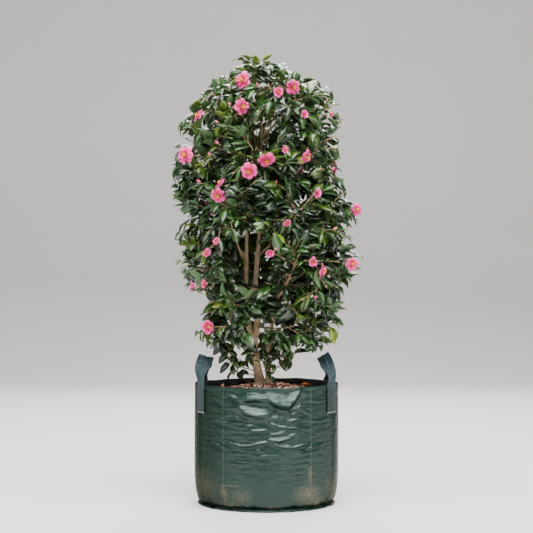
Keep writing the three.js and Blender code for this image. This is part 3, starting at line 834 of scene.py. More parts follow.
def add_whorl(heap, bloom, count, turn, opening, length, shapes, random, finish):
    """One ring of petals, each opened by an angle from the bloom's own axis"""
    axis = bloom.facing
    for i in range(count):
        angle = turn + 2 * math.pi * (i + random.uniform(-0.09, 0.09)) / count
        spoke = spoke_of(bloom, angle)
        lean = math.radians(opening + random.uniform(-7, 7))
        along = spoke * math.sin(lean) + axis * math.cos(lean)
        facing = axis * math.sin(lean) - spoke * math.cos(lean)
        facing = facing + 0.22 * random.uniform(-1, 1) * np.cross(along, facing)
        foot = bloom.place - axis * 0.006 + spoke * 0.0015
        size = length * random.uniform(0.92, 1.06)
        shape = shapes[random.integers(len(shapes))]
        heap.put(shape, foot, along, facing, size, finish)


def add_stamens(heap, anthers, bloom, count, random):
    """A brush of pale filaments, each with a golden anther"""
    for i in range(count):
        angle = GOLDEN_TURN * i
        spread = 0.55 * math.sqrt((i + 0.5) / count)
        spoke = spoke_of(bloom, angle)
        heading = unit(bloom.facing + spoke * spread)
        start = bloom.place - bloom.facing * 0.004 + spoke * 0.0022 * spread
        end = start + heading * bloom.width * random.uniform(0.20, 0.26)
        middle = (start + end) / 2 + spoke * 0.0008
        add_tube(heap, bent("stamen", start, middle, end, FILAMENT_GIRTH, FILAMENT_TIP), 3, 1)
        anthers.put(ANTHER, end, np.cross(heading, spoke), heading, 0.048 * bloom.width)


# Growth of the twigs, shoots and leaves

TINTS = ("deep", "green", "olive", "young")
# The leaves of the low sprays beside the trunk's foot, as seen: each one's foot and tip, across and up in
# their own plane, and its tint
LOW_LEAVES_DEPTH = -0.05
LOW_LEAVES = (
    (-0.1274, 0.5159, -0.1649, 0.5478, "deep"), (-0.1368, 0.5159, -0.1679, 0.4841, "deep"),
    (-0.1237, 0.4890, -0.1627, 0.4485, "deep"), (-0.1304, 0.5103, -0.0930, 0.4792, "deep"),
    (-0.1162, 0.4747, -0.1132, 0.4500, "green"), (-0.0855, 0.4916, -0.0570, 0.4710, "green"),
    (-0.0720, 0.4665, -0.0960, 0.4290, "deep"), (-0.0450, 0.5227, -0.0900, 0.5114, "green"),
    (-0.1540, 0.5460, -0.1860, 0.5100, "deep"), (-0.1000, 0.5000, -0.1330, 0.5330, "green"),
    (0.0404, 0.4980, 0.0730, 0.4590, "olive"), (0.0730, 0.5159, 0.0853, 0.4860, "green"),
    (0.0224, 0.5080, 0.0018, 0.4747, "deep"), (-0.0150, 0.5347, 0.0020, 0.4930, "green"),
    (0.0524, 0.5230, 0.0224, 0.4880, "green"), (0.0560, 0.5230, 0.0960, 0.5060, "deep"),
)
leaves = {tint: Heap() for tint in TINTS}
twigs, leaf_buds, flower_buds, petals, filaments, anthers = (Heap() for _ in range(6))
MOST_LEAVES = 12000
leaf_middles = np.zeros((MOST_LEAVES, 3))
leaf_count = 0


def may_grow(points, mass, clearance):
    if (share_of_reach(points) > 1).any() or in_window(points) or not clear_of_pot(points):
        return False
    return not hides_bloom(points) and not balls.meet(points, np.zeros(len(points)), clearance, mass.name)


def tint_of(place, random):
    """The tint of one spray, as painted light and shade: lighter and yellower towards the light at the top
    and edge of the crown, and deep green more often where less light falls
    """
    high = float(np.clip((place[2] - 0.95) / 0.6, 0, 1))
    light = 0.55 * high + 0.45 * max(0.0, float(share_of_reach(place)) - 0.55)
    draw = random.random()
    if draw < 0.012 + 0.03 * light:
        return "young"
    if draw < 0.07 + 0.42 * light:
        return "olive"
    return "green" if draw < 0.45 + 0.35 * light else "deep"


def habit_of(place, random):
    """How far the leaves of one spray hang, from 0, held out flat, to 1: more the lower it grows"""
    low = float(np.clip((1.48 - place[2]) / 0.30, 0, 1))
    return float(np.clip(random.normal(0.05 + 0.50 * low, 0.22), 0, 1))


def add_leaf(line, t, spin, mass, spray, size, random):
    """Sets one leaf on a twig, or leaves it out where it has no room."""
    global leaf_count
    tint, hang = spray
    foot = line.course(t)
    run = line.heading(t)
    flank = unit(np.cross(run, UP) + 1e-6)
    over = np.cross(flank, run)
    outward = outwards(azimuth_of(foot))
    for attempt in range(TRIES):
        angle = spin + attempt * NEXT_TRY_TURN
        opening = math.radians(random.uniform(*LEAF_OPENINGS) - TIP_CLOSING * t)
        side = flank * math.cos(angle) + over * math.sin(angle) * 0.5
        along = run * math.cos(opening) + unit(side) * math.sin(opening)
        along = unit(along + (0.22 - random.uniform(0.7, 1.3) * hang) * UP + 0.12 * outward)
        facing = UP * (1.1 - 0.8 * hang) + outward * (0.1 + 0.9 * hang) + 0.26 * random.normal(size=3)
        scale = size * random.uniform(*LEAF_SCALES)
        reach = LEAF_LENGTH * scale
        points = foot + along * reach * np.array([[0.35], [0.65], [1.0]])
        if not may_grow(points, mass, LEAF_CLEARANCE):
            continue
        if (np.linalg.norm(leaf_middles[:leaf_count] - points[1], axis=1) < LEAF_APART).any():
            continue
        leaf_middles[leaf_count] = points[1]
        leaf_count += 1
        shape = LEAF_SHAPES[random.integers(len(LEAF_SHAPES))]
        leaves[tint].put(shape, foot, along, facing, scale)
        return


def add_leaves(line, first, mass, size, random):
    """Leaves turn round a twig one after another, closer together towards its tip."""
    spacing = LEAF_SPACING * (1.5 if mass.level == "base" else 1.0)
    count = max(2, round(line.length() * (1 - first) / spacing))
    spin = random.uniform(0, 6.28)
    tip = line.course(1)
    spray = (tint_of(tip, random), habit_of(tip, random))
    for i in range(count):
        t = first + (1 - first) * ((i + 0.6) / count) ** 0.85
        own_size = size * (1.0 - 0.18 * (i == count - 1))
        add_leaf(line, min(t, 0.99), spin + GOLDEN_TURN * i, mass, spray, own_size, random)


def add_bud(line, random):
    """A leaf bud ends every shoot; here and there a flower bud stands beside it."""
    end = line.course(1)
    run = line.heading(0.99)
    leaf_buds.put(LEAF_BUD, end - run * 0.001, run, UP + 0.1, random.uniform(0.8, 1.2))
    if random.random() < FLOWER_BUD_CHANCE and share_of_reach(end) > 0.6 and end[2] > 0.56:
        heading = unit(run + 0.5 * random.normal(size=3))
        finish = 2 * int(random.random() < 0.45)
        flower_buds.put(FLOWER_BUD, end, heading, UP + 0.1, random.uniform(0.7, 1.05), finish)


def next_end(mass, inner, room, ends, random):
    """Of some random places in the mass's own space, the one furthest from all twig ends so far"""
    best = None
    taken = np.array(ends)
    for _ in range(CANDIDATES):
        azimuth = mass.azimuth + mass.spread * random.uniform(-0.5, 0.5)
        height = mass.height + mass.tall * random.uniform(-0.5, 0.5)
        share = random.uniform(*(INNER_SHARES if inner else OUTER_SHARES))
        if mass.level == "top":
            share = random.random()
        place = on_crown(azimuth, height, max(0, reach_at(azimuth, height) - room) * share)
        if not inside_cell(mass, place, 0.004) or in_window(place[None]):
            continue
        away = np.linalg.norm(taken - place, axis=1).min()
        if best is None or away > best[0]:
            best = (away, place)
    return None if best is None else best[1]


twig_ends = [bloom.place for bloom in blooms] + [np.array(leader) for leader in LEADERS]


def fork_for(place, lines):
    """The line, and the place along it, that a new twig leaves from: near its end and heading there"""
    best = None
    for line in lines:
        stem = line is lines[0]
        for t in np.linspace(0.10, 1.0, 13) if stem else np.linspace(0.20, 0.75, 7):
            span = place - line.course(t)
            away = float(np.linalg.norm(span))
            ahead = float(unit(span) @ line.heading(t))
            cost = max(away, 0.035) * (1.45 - 0.65 * ahead) + 0.012 * (not stem)
            if best is None or cost < best[0]:
                best = (cost, line, t)
    return best[1:]


def grow(mass, random):
    """The finer growth of one mass: twigs that fork off its stem and off each other towards ends spread over
    its surface and inside, shoots on them, and leaves"""
    small = mass.level == "base"
    size = LOW_LEAF_SIZE if small else LEAF_SIZE
    room = LOW_LEAF_ROOM if small else LEAF_ROOM
    add_tube(twigs, mass.stem, 7, 8)
    ends = []
    for bloom in blooms:
        if inside_cell(mass, bloom.place, 0):
            ends.append((bloom.place - bloom.facing * 0.012, bloom))
    for leader in LEADERS:
        if inside_cell(mass, np.array(leader), 0):
            ends.append((np.array(leader), None))
    for inner in [False] * OUTER_TWIGS[mass.level] + [True] * INNER_TWIGS[mass.level]:
        place = next_end(mass, inner, room, twig_ends, random)
        if place is not None:
            twig_ends.append(place)
            ends.append((place, None))
    stem_points = mass.stem.course(np.linspace(0, 1, 21))
    ends.sort(key=lambda item: float(np.linalg.norm(stem_points - item[0], axis=1).min()))
    lines = [mass.stem]
    for place, bloom in ends:
        line, t = fork_for(place, lines)
        start = line.course(t)
        span = place - start
        length = np.linalg.norm(span)
        sideways = np.cross(span, UP) * random.uniform(-0.14, 0.14)
        middle = start + 0.42 * span + line.heading(t) * 0.24 * length + sideways
        girth = min(TWIG_GIRTH, 0.85 * float(line.radius(t)))
        twig = bent(mass.name, start, middle, place, girth, min(TWIG_TIP, 0.8 * girth))
        points = twig.course(np.linspace(0.3, 1, 8))
        if not bloom and (in_window(points[2:]) or balls.meet(points, np.zeros(8), 0.001, mass.name)):
            continue
        lines.append(twig)
        add_tube(twigs, twig, 5, 6)
        first = max(0.12, 1 - LEAFY_LENGTH / max(length, 0.01))
        add_leaves(twig, max(first, 0.6) if bloom else first, mass, size, random)
        if not bloom:
            add_bud(twig, random)
        add_shoots(twig, first, mass, size, random)
    if small:
        add_low_leaves(lines, mass, random)


def add_low_leaves(lines, mass, random):
    """Sets the measured leaves of one low spray, each on a short twig of its own."""
    side = -1 if mass.name == "base_left" else 1
    for x, height, tip_x, tip_height, tint in LOW_LEAVES:
        if (1 if x > -0.03 else -1) != side:
            continue
        foot = np.array([x, LOW_LEAVES_DEPTH + random.uniform(-0.012, 0.012), height])
        span = np.array([tip_x - x, random.uniform(-0.016, 0.004), tip_height - height])
        line, t = fork_for(foot, lines)
        by_trunk = trunk.at_height(height - 0.012)
        if abs(x - trunk.course(by_trunk)[0]) < 0.024:
            line, t = trunk, by_trunk
        middle = (line.course(t) + foot) / 2 + 0.004 * UP
        add_tube(twigs, bent(mass.name, line.course(t), middle, foot, STALK_GIRTH, STALK_TIP), 4, 4)
        shape = LEAF_SHAPES[random.integers(len(LEAF_SHAPES))]
        facing = np.array([random.uniform(-0.3, 0.3), -0.8, 0.7])
        leaves[tint].put(shape, foot, span, facing, np.linalg.norm(span) / LEAF_LENGTH)


def add_shoots(twig, first, mass, size, random):
    """Side shoots leave the leafy part of a twig to one side and the other."""
    length = twig.length() * (1 - first)
    count = int(np.clip(round(length / SHOOT_SPACING), 1, 4))
    hand = 1 if random.random() < 0.5 else -1
    for i in range(count):
        t = first + (0.94 - first) * (i + random.uniform(0.1, 0.8)) / count
        start = twig.course(t)
        run = twig.heading(t)
        hand = -hand
        for shorter in SHORTER_TRIES:
            flank = unit(np.cross(run, UP) + 1e-6) * hand
            heading = unit(run * 0.70 + flank * 0.7 + UP * random.uniform(-0.40, 0.40))
            span = random.uniform(*SHOOT_LENGTHS) * shorter
            end = start + heading * span
            middle = start + heading * span * 0.5 + UP * 0.10 * span
            shoot = bent(mass.name, start, middle, end, SHOOT_GIRTH, SHOOT_TIP)
            if may_grow(shoot.course(np.array([0.5, 1.0])), mass, 0.002):
                add_tube(twigs, shoot, 4, 3)
                add_leaves(shoot, 0.25, mass, size, random)
                add_bud(shoot, random)
                break


for number, mass in enumerate(masses):
    grow(mass, np.random.default_rng(101 + 37 * number))


# The fan's stems: the height where each leaves the trunk, its end, and its radius in millimetres
FAN = (
    (1.120, -0.096, -0.050, 1.390, 3.0),
    (1.150, -0.072, -0.030, 1.410, 2.6),
    (1.170, -0.052, -0.060, 1.400, 2.2),
    (1.190, -0.022, -0.055, 1.400, 2.4),
    (1.180, 0.040, -0.060, 1.395, 3.0),
)


def add_fan():
    """Slender stems that fan up from the trunk and show through the opening high in the crown"""
    for height, x, y, top, girth in FAN:
        foot = trunk.course(trunk.at_height(height))
        end = np.array([x, y, top])
        middle = foot + 0.4 * (end - foot) + 0.035 * UP + 0.10 * np.array([x - foot[0], 0, 0])
        add_tube(twigs, bent("fan", foot, middle, end, girth * MM, 0.6 * girth * MM), 7, 10)


add_fan()

FULL_BLOOM = 0.036
bloom_random = np.random.default_rng(7)
for bloom in blooms:
    if bloom.width == BUD_WIDTH:
        finish = 2 * int(bloom_random.random() < 0.2)
        flower_buds.put(FLOWER_BUD, bloom.place - bloom.facing * 0.012, bloom.facing, UP + 0.1, 1.25, finish)
        continue
    full = bloom.width > FULL_BLOOM
    opening = bloom_random.uniform(66, 80) if full else bloom_random.uniform(30, 50)
    length = bloom.width / 2 / math.sin(math.radians(opening)) * (1.05 if full else 0.84)
    turn = bloom_random.uniform(0, 6.28)
    add_whorl(petals, bloom, 6, turn, opening, length, PETAL_SHAPES[:2], bloom_random, 0)
    add_whorl(petals, bloom, 4, turn + 0.5, opening - 24, length * 0.8, PETAL_SHAPES[1:], bloom_random, 2)
    add_stamens(filaments, anthers, bloom, 34 if full else 16, bloom_random)
    flower_buds.put(FLOWER_BUD, bloom.place - bloom.facing * 0.013, bloom.facing, UP + 0.1, 0.8, 2)
print("leaves", leaf_count, "twigs", twigs.count)


# Colours and nodes


def linear(hex_colour):
    """A colour as shaders take it, from its sRGB hex"""
    channels = [int(hex_colour[i:i + 2], 16) / 255 for i in (1, 3, 5)]
    return (*(c / 12.92 if c <= 0.04045 else ((c + 0.055) / 1.055) ** 2.4 for c in channels), 1.0)


def add(tree, kind, inputs=None, stops=(), **settings):
    """Adds a node. Inputs, by name or number, take values or other nodes' sockets; stops colour a ramp."""
    node = tree.nodes.new(f"ShaderNode{kind}")
    for name, value in settings.items():
        setattr(node, name, value)
    for name, value in (inputs or {}).items():
        if isinstance(value, bpy.types.NodeSocket):
            tree.links.new(value, node.inputs[name])
        else:
            node.inputs[name].default_value = value
    for i, (place, colour) in enumerate(stops):
        elements = node.color_ramp.elements
        element = elements[i] if i < 2 else elements.new(place)
        element.position = place
        element.color = linear(colour) if isinstance(colour, str) else (colour, colour, colour, 1)
    return node


def new_material(name, **shader_values):
    """A material, its nodes, its shader, whose constant values are set here by socket name, and two sets of
    coordinates: in space, and in its own pattern, which is in metres except on leaves and petals"""
    material = bpy.data.materials.new(name)
    material.use_nodes = True
    tree = material.node_tree
    shader = tree.nodes["Principled BSDF"]
    for socket, value in shader_values.items():
        shader.inputs[socket.replace("_", " ")].default_value = value
    coordinates = add(tree, "TexCoord")
    return material, tree, shader, coordinates.outputs["Object"], coordinates.outputs["UV"]


def link(tree, shader, **sockets):
    for name, socket in sockets.items():
        tree.links.new(socket, shader.inputs[name.replace("_", " ")])


def noise(tree, coordinates, feature, detail=3.0, roughness=0.5):
    """Noise whose features have a size in metres"""
    return add(tree, "TexNoise", {
        "Vector": coordinates, "Scale": 1 / feature, "Detail": detail, "Roughness": roughness}).outputs["Fac"]


def blend(tree, factor, a, b):
    """Two colours mixed; each is a hex colour or a socket"""
    a, b = (linear(c) if isinstance(c, str) else c for c in (a, b))
    return add(tree, "Mix", {0: factor, 6: a, 7: b}, data_type="RGBA").outputs[2]


def maths(tree, way, *values):
    return add(tree, "Math", dict(enumerate(values)), operation=way).outputs[0]


def times(tree, a, b):
    return maths(tree, "MULTIPLY", a, b)


def waves(tree, value, turns):
    """A sine wave; turns is how far it turns for each unit of the value."""
    return maths(tree, "SINE", times(tree, value, turns))


def ramp(tree, factor, *stops):
    return add(tree, "ValToRGB", {"Fac": factor}, stops=stops).outputs[0]


def carry(tree, value, start, end, first, last):
    """A value carried from one range over to another, and held at its ends"""
    return add(tree, "MapRange", {
        "Value": value, "From Min": start, "From Max": end, "To Min": first, "To Max": last}).outputs[0]


def drawn(tree, coordinates, *scale):
    """Coordinates scaled, so that what lies in them is drawn out or drawn in"""
    return add(tree, "Mapping", {"Vector": coordinates, "Scale": scale}).outputs[0]


def relief(tree, height, strength, distance, **under):
    """A bump, its distance in metres, over another one where it has one"""
    inputs = {"Strength": strength, "Distance": distance, "Height": height, **under}
    return add(tree, "Bump", inputs).outputs[0]


def across_and_along(tree, pattern):
    split = add(tree, "SeparateXYZ", {"Vector": pattern})
    return split.outputs["X"], split.outputs["Y"]


def leaf_green(name, upper, lighter, rib, gloss):
    """The upper face of a leaf: waxy and glossy, so it takes a pale sheen. Its rib is a little paler, its
    veins are sunk, and the green drifts from leaf to leaf."""
    material, tree, shader, space, pattern = new_material(
        name, Roughness=gloss, Coat_Weight=0.62, Coat_Roughness=0.14, Specular_IOR_Level=0.5)
    across, along = across_and_along(tree, pattern)
    drift = ramp(tree, noise(tree, space, 0.035, 2.0), (0.38, 0.0), (0.62, 1.0))
    aside = maths(tree, "ABSOLUTE", maths(tree, "SUBTRACT", across, 0.5))
    midrib = carry(tree, aside, 0.015, 0.06, 0.7, 0.0)
    veins = waves(tree, maths(tree, "SUBTRACT", along, aside), 44.0)
    link(tree, shader, Base_Color=blend(tree, midrib, blend(tree, drift, upper, lighter), rib),
         Normal=relief(tree, veins, 0.35, 0.0006))
    return material


def leaf_underside(name, colour, paler):
    """The underside of a leaf: duller and paler, so turned leaves read grey-green."""
    material, tree, shader, space, _ = new_material(name, Roughness=0.6, Specular_IOR_Level=0.4)
    link(tree, shader, Base_Color=blend(tree, noise(tree, space, 0.02), colour, paler))
    return material


def petal_pink(name, claw, middle, rim):
    """A camellia petal: silky, deep rose at the claw and paler at the rim, with faint veins along it"""
    material, tree, shader, space, pattern = new_material(
        name, Roughness=0.5, Specular_IOR_Level=0.35, Subsurface_Weight=0.12, Sheen_Weight=0.2,
        Subsurface_Radius=(0.004, 0.002, 0.0015))
    across, along = across_and_along(tree, pattern)
    colour = ramp(tree, along, (0.08, claw), (0.95, rim), (0.45, middle))
    mottle = carry(tree, noise(tree, space, 0.006, 4.0), 0.0, 1.0, 0.0, 0.35)
    link(tree, shader, Base_Color=blend(tree, mottle, colour, middle),
         Normal=relief(tree, waves(tree, across, 75.0), 0.3, 0.0004))
    return material


def speckled(name, colour, other, feature, roughness, depth=0.0):
    """A plain natural finish with a second tone in specks, and a fine relief where it has one"""
    material, tree, shader, space, _ = new_material(name, Roughness=roughness, Specular_IOR_Level=0.35)
    specks = noise(tree, space, feature, 4.0)
    tone = ramp(tree, specks, (0.36, 0.0), (0.64, 1.0))
    link(tree, shader, Base_Color=blend(tree, tone, colour, other))
    if depth:
        link(tree, shader, Normal=relief(tree, specks, 0.7, depth))
    return material


def camellia_bark():
    """Smooth tan bark: streaked along the limb, weathered to pale grey in patches, with fine cracks"""
    material, tree, shader, _, pattern = new_material(
        "smooth_camellia_bark", Roughness=0.82, Specular_IOR_Level=0.3)
    streaked = drawn(tree, pattern, 1.0, 0.16, 1.0)
    tone = ramp(tree, noise(tree, streaked, 0.0035, 5.0, 0.6),
                (0.30, "#a28262"), (0.72, "#e2ceaf"), (0.50, "#c9aa88"))
    grey = ramp(tree, noise(tree, pattern, 0.030), (0.50, 0.0), (0.66, 0.65))
    link(tree, shader, Base_Color=blend(tree, grey, tone, "#a49a8b"),
         Normal=relief(tree, noise(tree, streaked, 0.0022, 6.0, 0.65), 0.6, 0.0012))
    return material


# Soil on the cloth: azimuth and height of each patch's middle, its half width and half height, its thickness
SOIL = (
    (35, 0.056, 0.055, 0.034, 1.0), (42, 0.030, 0.050, 0.016, 0.9), (36, 0.118, 0.010, 0.034, 0.7),
    (-35, 0.058, 0.018, 0.026, 0.75), (-20, 0.052, 0.040, 0.024, 0.55), (-30, 0.022, 0.080, 0.014, 0.45),
    (-30, 0.086, 0.050, 0.003, 0.8), (-36, 0.080, 0.016, 0.0022, 0.7), (5, 0.014, 0.018, 0.008, 0.8),
    (150, 0.050, 0.070, 0.034, 0.9), (205, 0.048, 0.050, 0.026, 0.7), (-100, 0.044, 0.070, 0.030, 0.6),
    (95, 0.046, 0.060, 0.030, 0.6), (-62, 0.075, 0.090, 0.060, 0.4), (70, 0.060, 0.060, 0.050, 0.5),
)


def soil_on(tree, cloth):
    """How thick dried soil lies: full in the middle of each patch, thinning out round it, and grainy"""
    soil = None
    for azimuth, height, wide, tall, thick in SOIL:
        middle = (math.radians((azimuth + 180) % 360 - 180) * BAG_RADIUS, height, 0)
        away = add(tree, "VectorMath", {0: cloth, 1: middle}, operation="SUBTRACT").outputs[0]
        away = add(tree, "VectorMath", {0: away, 1: (1 / wide, 1 / tall, 0)}, operation="MULTIPLY").outputs[0]
        away = add(tree, "VectorMath", {0: away}, operation="LENGTH").outputs["Value"]
        patch = carry(tree, away, 0.2, 1.25, thick, 0.0)
        soil = patch if soil is None else maths(tree, "MAXIMUM", soil, patch)
    grain = noise(tree, drawn(tree, cloth, 1.0, 1.8, 1.0), 0.010, 7.0, 0.72)
    return times(tree, soil, carry(tree, grain, 0.42, 0.62, 0.0, 0.8))


def woven_cloth():
    """Laminated woven polypropylene: flat tapes, 2.5 mm wide, under a clear scuffed film. The film gives the
    creases crisp pale glints from above but is too scuffed to glare at the edges. The tapes give a fine grid,
    the left side is painted darker, as painted shade, and patches of dried soil lie on the lower part."""
    # The film's reflections are tinted teal: partly the film's own tint, partly painted reflection of the
    # sky's colour
    material, tree, shader, space, cloth = new_material(
        "laminated_woven_polypropylene", Specular_Tint=(0.82, 1.0, 0.98, 1))
    across, up = across_and_along(tree, cloth)

    def near(azimuth, half, edge):
        """1 close to an azimuth of the bag, and 0 away from it"""
        away = maths(tree, "ABSOLUTE", maths(tree, "SUBTRACT", across, math.radians(azimuth) * BAG_RADIUS))
        return carry(tree, away, half, half + edge, 1.0, 0.0)

    green = blend(tree, noise(tree, space, 0.10), "#051710", "#0b2a1f")
    # Painted shade: the left side of the bag is darkened towards a dark olive, and its gloss is cut there
    # below
    painted_left_shade = near(-82, 0.12, 0.15)
    green = blend(tree, times(tree, painted_left_shade, 0.4), green, "#0f1c12")
    # The fold lines are painted paler: partly wear of the film along the folds, partly a painted highlight on
    # their ridges
    worn = maths(tree, "MAXIMUM", *(near(azimuth, 0.0004, 0.0012) for azimuth in FOLD_LINES[:2]))
    worn = times(tree, worn, times(tree, noise(tree, cloth, 0.05, 2.0), 0.30))
    green = blend(tree, worn, green, "#7fa294")
    soil = soil_on(tree, cloth)
    film = carry(tree, noise(tree, space, 0.03), 0.3, 0.7, 0.22, 0.34)
    edge = add(tree, "LayerWeight", {"Blend": 0.5}).outputs["Facing"]
    gloss = times(tree, carry(tree, edge, 0.18, 0.60, 0.54, 0.02),
                  maths(tree, "SUBTRACT", 1.0, times(tree, painted_left_shade, 0.7)))
    tapes = times(tree, *(waves(tree, way, 2 * math.pi / (2 * TAPE_WIDTH)) for way in (across, up)))
    weave = relief(tree, tapes, 0.2, 0.0003)
    crinkle = noise(tree, drawn(tree, cloth, 0.35, 1.0, 1.0), 0.014)
    link(tree, shader, Base_Color=blend(tree, soil, green, "#7d6b55"),
         Roughness=maths(tree, "MAXIMUM", film, soil), Specular_IOR_Level=gloss,
         Normal=relief(tree, crinkle, 0.6, 0.004, Normal=weave))
    return material


def webbing(name, colour, worn):
    """Woven polypropylene webbing: ribs along its length, and yarns across them"""
    material, tree, shader, space, pattern = new_material(name, Roughness=0.5, Specular_IOR_Level=0.2)
    across, along = across_and_along(tree, pattern)
    ribs = waves(tree, across, 2 * math.pi / RIB_PITCH)
    weave = maths(tree, "ADD", ribs, waves(tree, along, 2 * math.pi / YARN_PITCH))
    shade = blend(tree, ramp(tree, noise(tree, space, 0.012, 4.0), (0.42, 0.0), (0.68, 1.0)), colour, worn)
    streaks = noise(tree, drawn(tree, pattern, 6.0, 0.35, 1.0), 0.03, 2.0)
    shade = blend(tree, carry(tree, streaks, 0.43, 0.57, 0.0, 0.75), shade, "#142426")
    # Painted shade: the grooves between the ribs are darkened
    painted_groove_shade = carry(tree, ribs, -1, 1, 0.3, 0.0)
    link(tree, shader, Base_Color=blend(tree, painted_groove_shade, shade, "#101c1e"),
         Normal=relief(tree, weave, 0.6, 0.0005))
    return material


BARK = camellia_bark()
GREEN_TWIG = speckled("young_twig_bark", "#8d7453", "#ad9270", 0.02, 0.7)
# Lit and shaded copies of one leaf: olive and its lit underside are painted light, deep green painted shade
UNDER_LEAF = leaf_underside("camellia_leaf_underside", "#3f5e37", "#56754a")
UNDER_OLIVE = leaf_underside("lit_leaf_underside", "#56701f", "#6d8434")
LEAF_MATERIALS = {
    "deep": (leaf_green("deep_green_leaf", "#0d1e0b", "#193013", "#4e6a3a", 0.29), UNDER_LEAF),
    "green": (leaf_green("mid_green_leaf", "#1e3c14", "#30581f", "#6e894b", 0.27), UNDER_LEAF),
    "olive": (leaf_green("olive_leaf", "#2c440b", "#3f5a14", "#7d8f3e", 0.32), UNDER_OLIVE),
    "young": (leaf_green("young_yellow_leaf", "#6c8420", "#8a9c33", "#b3ba60", 0.35), UNDER_OLIVE),
}
PINK = petal_pink("pink_petal", "#c20046", "#f2148a", "#ff7cd4")
ROSE = petal_pink("rose_petal", "#9c0034", "#d00a60", "#f046aa")
PINK_BACK = speckled("petal_back", "#de207e", "#f45cba", 0.012, 0.55)
FILAMENT = speckled("stamen_filament", "#f2b04a", "#f6cf84", 0.004, 0.5)
ANTHER_GOLD = speckled("pollen_gold", "#e08a06", "#f6b21a", 0.004, 0.7)
BUD_SCALE = speckled("bud_scale", "#8f9a48", "#b3b768", 0.006, 0.5)
BUD_CREAM = speckled("cream_bud_tip", "#cfd191", "#e2dfae", 0.006, 0.5)
BUD_PINK = speckled("pink_bud_tip", "#df4a72", "#f0819c", 0.008, 0.5)
GREEN_CALYX = speckled("calyx_green", "#66793c", "#88934c", 0.006, 0.55)
CLOTH = woven_cloth()
BLACK_LINING = speckled("black_lining", "#15181a", "#272b2e", 0.03, 0.45)
WEBBING = webbing("polypropylene_webbing", "#1b3135", "#325158")
WORN_WEBBING = webbing("dusty_polypropylene_webbing", "#0f181b", "#1f2b2f")
CUT_END = speckled("sealed_webbing_end", "#6a7373", "#8d9493", 0.004, 0.6)
THREAD = speckled("sewing_thread", "#16302a", "#24483e", 0.004, 0.6)
PALE_THREAD = speckled("pale_thread", "#4d5c60", "#6b787b", 0.004, 0.6)
MIX = speckled("composted_pine_bark", "#3a2419", "#6b4632", 0.006, 0.95, 0.004)
CHIP_RED = speckled("red_bark_chip", "#84503e", "#a97a66", 0.008, 0.9, 0.001)
CHIP_TAN = speckled("tan_bark_chip", "#c69a84", "#e6c8b6", 0.008, 0.9, 0.001)
CHIP_DARK = speckled("dark_bark_chip", "#3b271d", "#57392a", 0.008, 0.95, 0.001)
DRY_LEAF = speckled("fallen_leaf", "#a35a24", "#c98244", 0.010, 0.7, 0.0006)

FOLIAGE_NODES = [f"foliage_{mass.name}" for mass in masses]


def present_growth():
    for tint in TINTS:
        present(leaves[tint].joined(f"leaves_{tint}"), "foliage", LEAF_MATERIALS[tint], *FOLIAGE_NODES)
    present(twigs.joined("twigs"), "bark", (GREEN_TWIG,))
    present(leaf_buds.joined("leaf_buds"), "foliage", (BUD_SCALE, BUD_SCALE))
    present(flower_buds.joined("flower_buds"), "foliage", (GREEN_CALYX, BUD_PINK, BUD_SCALE, BUD_CREAM))
    present(petals.joined("petals"), "foliage", (PINK, PINK_BACK, ROSE, PINK_BACK))
    present(filaments.joined("stamens"), "foliage", (FILAMENT,))
    present(anthers.joined("anthers"), "foliage", (ANTHER_GOLD,))


present_growth()


# Limbs with the bark's relief

ROOTED = ("trunk", "back_stem")
# Ridges that wind round a limb: how many, how much they turn for each metre, and their share of its radius
BARK_RIDGES = ((2, 9, 0.030), (3, 23, 0.035), (5, 41, 0.028), (8, 66, 0.018), (13, 120, 0.012))
KNOT_RISE = 0.22
KNOT_LENGTH = 0.010
SCAR_SPACING = 0.09
STEM_RING_STEP = 0.0045
BOUGH_RING_STEP = 0.005


def bark_limb(line, sides, ring_step, knots):
    """A limb lofted along its line, with low ridges that wind along it and knots where it branches"""
    steps = max(12, round(line.length() / ring_step))
    piece = begin(
        bpy.ops.mesh.primitive_cylinder_add, line.name, vertices=sides, radius=1, depth=1,
        end_fill_type="NGON")
    pick("EDGE", lambda e: abs(e.verts[0].co.z - e.verts[1].co.z) > 0.5)
    bpy.ops.mesh.subdivide(number_cuts=steps - 1, quadcorner="STRAIGHT_CUT")
    end_edit()
    straight = places_of(piece)
    way = np.clip(straight[:, 2] + 0.5, 0, 1)
    turn = np.arctan2(straight[:, 1], straight[:, 0])
    _, middles, flanks, fronts = frames_along(line, steps, line.name in ROOTED)
    index = np.rint(way * steps).astype(int)
    distance = way * line.length()
    # The wood is a little slimmer than its solid above the first fork
    radius = line.radius(way) * (1 - 0.10 * np.clip((middles[index, 2] - 0.50) / 0.10, 0, 1))
    seed = sum(map(ord, line.name))
    swell = np.zeros(len(way))
    for lobes, drift, amount in BARK_RIDGES:
        swell += amount * np.sin(lobes * turn + drift * distance + seed * lobes)
    swell += 0.020 * np.sin(distance * 190 + 2 * np.sin(turn + seed))
    for along, facing in knots:
        height = KNOT_RISE * np.exp(-((distance - along) / KNOT_LENGTH) ** 2)
        swell += height * (0.35 + 0.65 * np.exp(-(np.angle(np.exp(1j * (turn - facing))) / 0.9) ** 2))
    out = flanks[index] * np.cos(turn)[:, None] + fronts[index] * np.sin(turn)[:, None]
    move_places(piece, middles[index] + out * (radius * (1 + swell))[:, None])
    write_uv(piece, turn * radius, distance)
    return piece


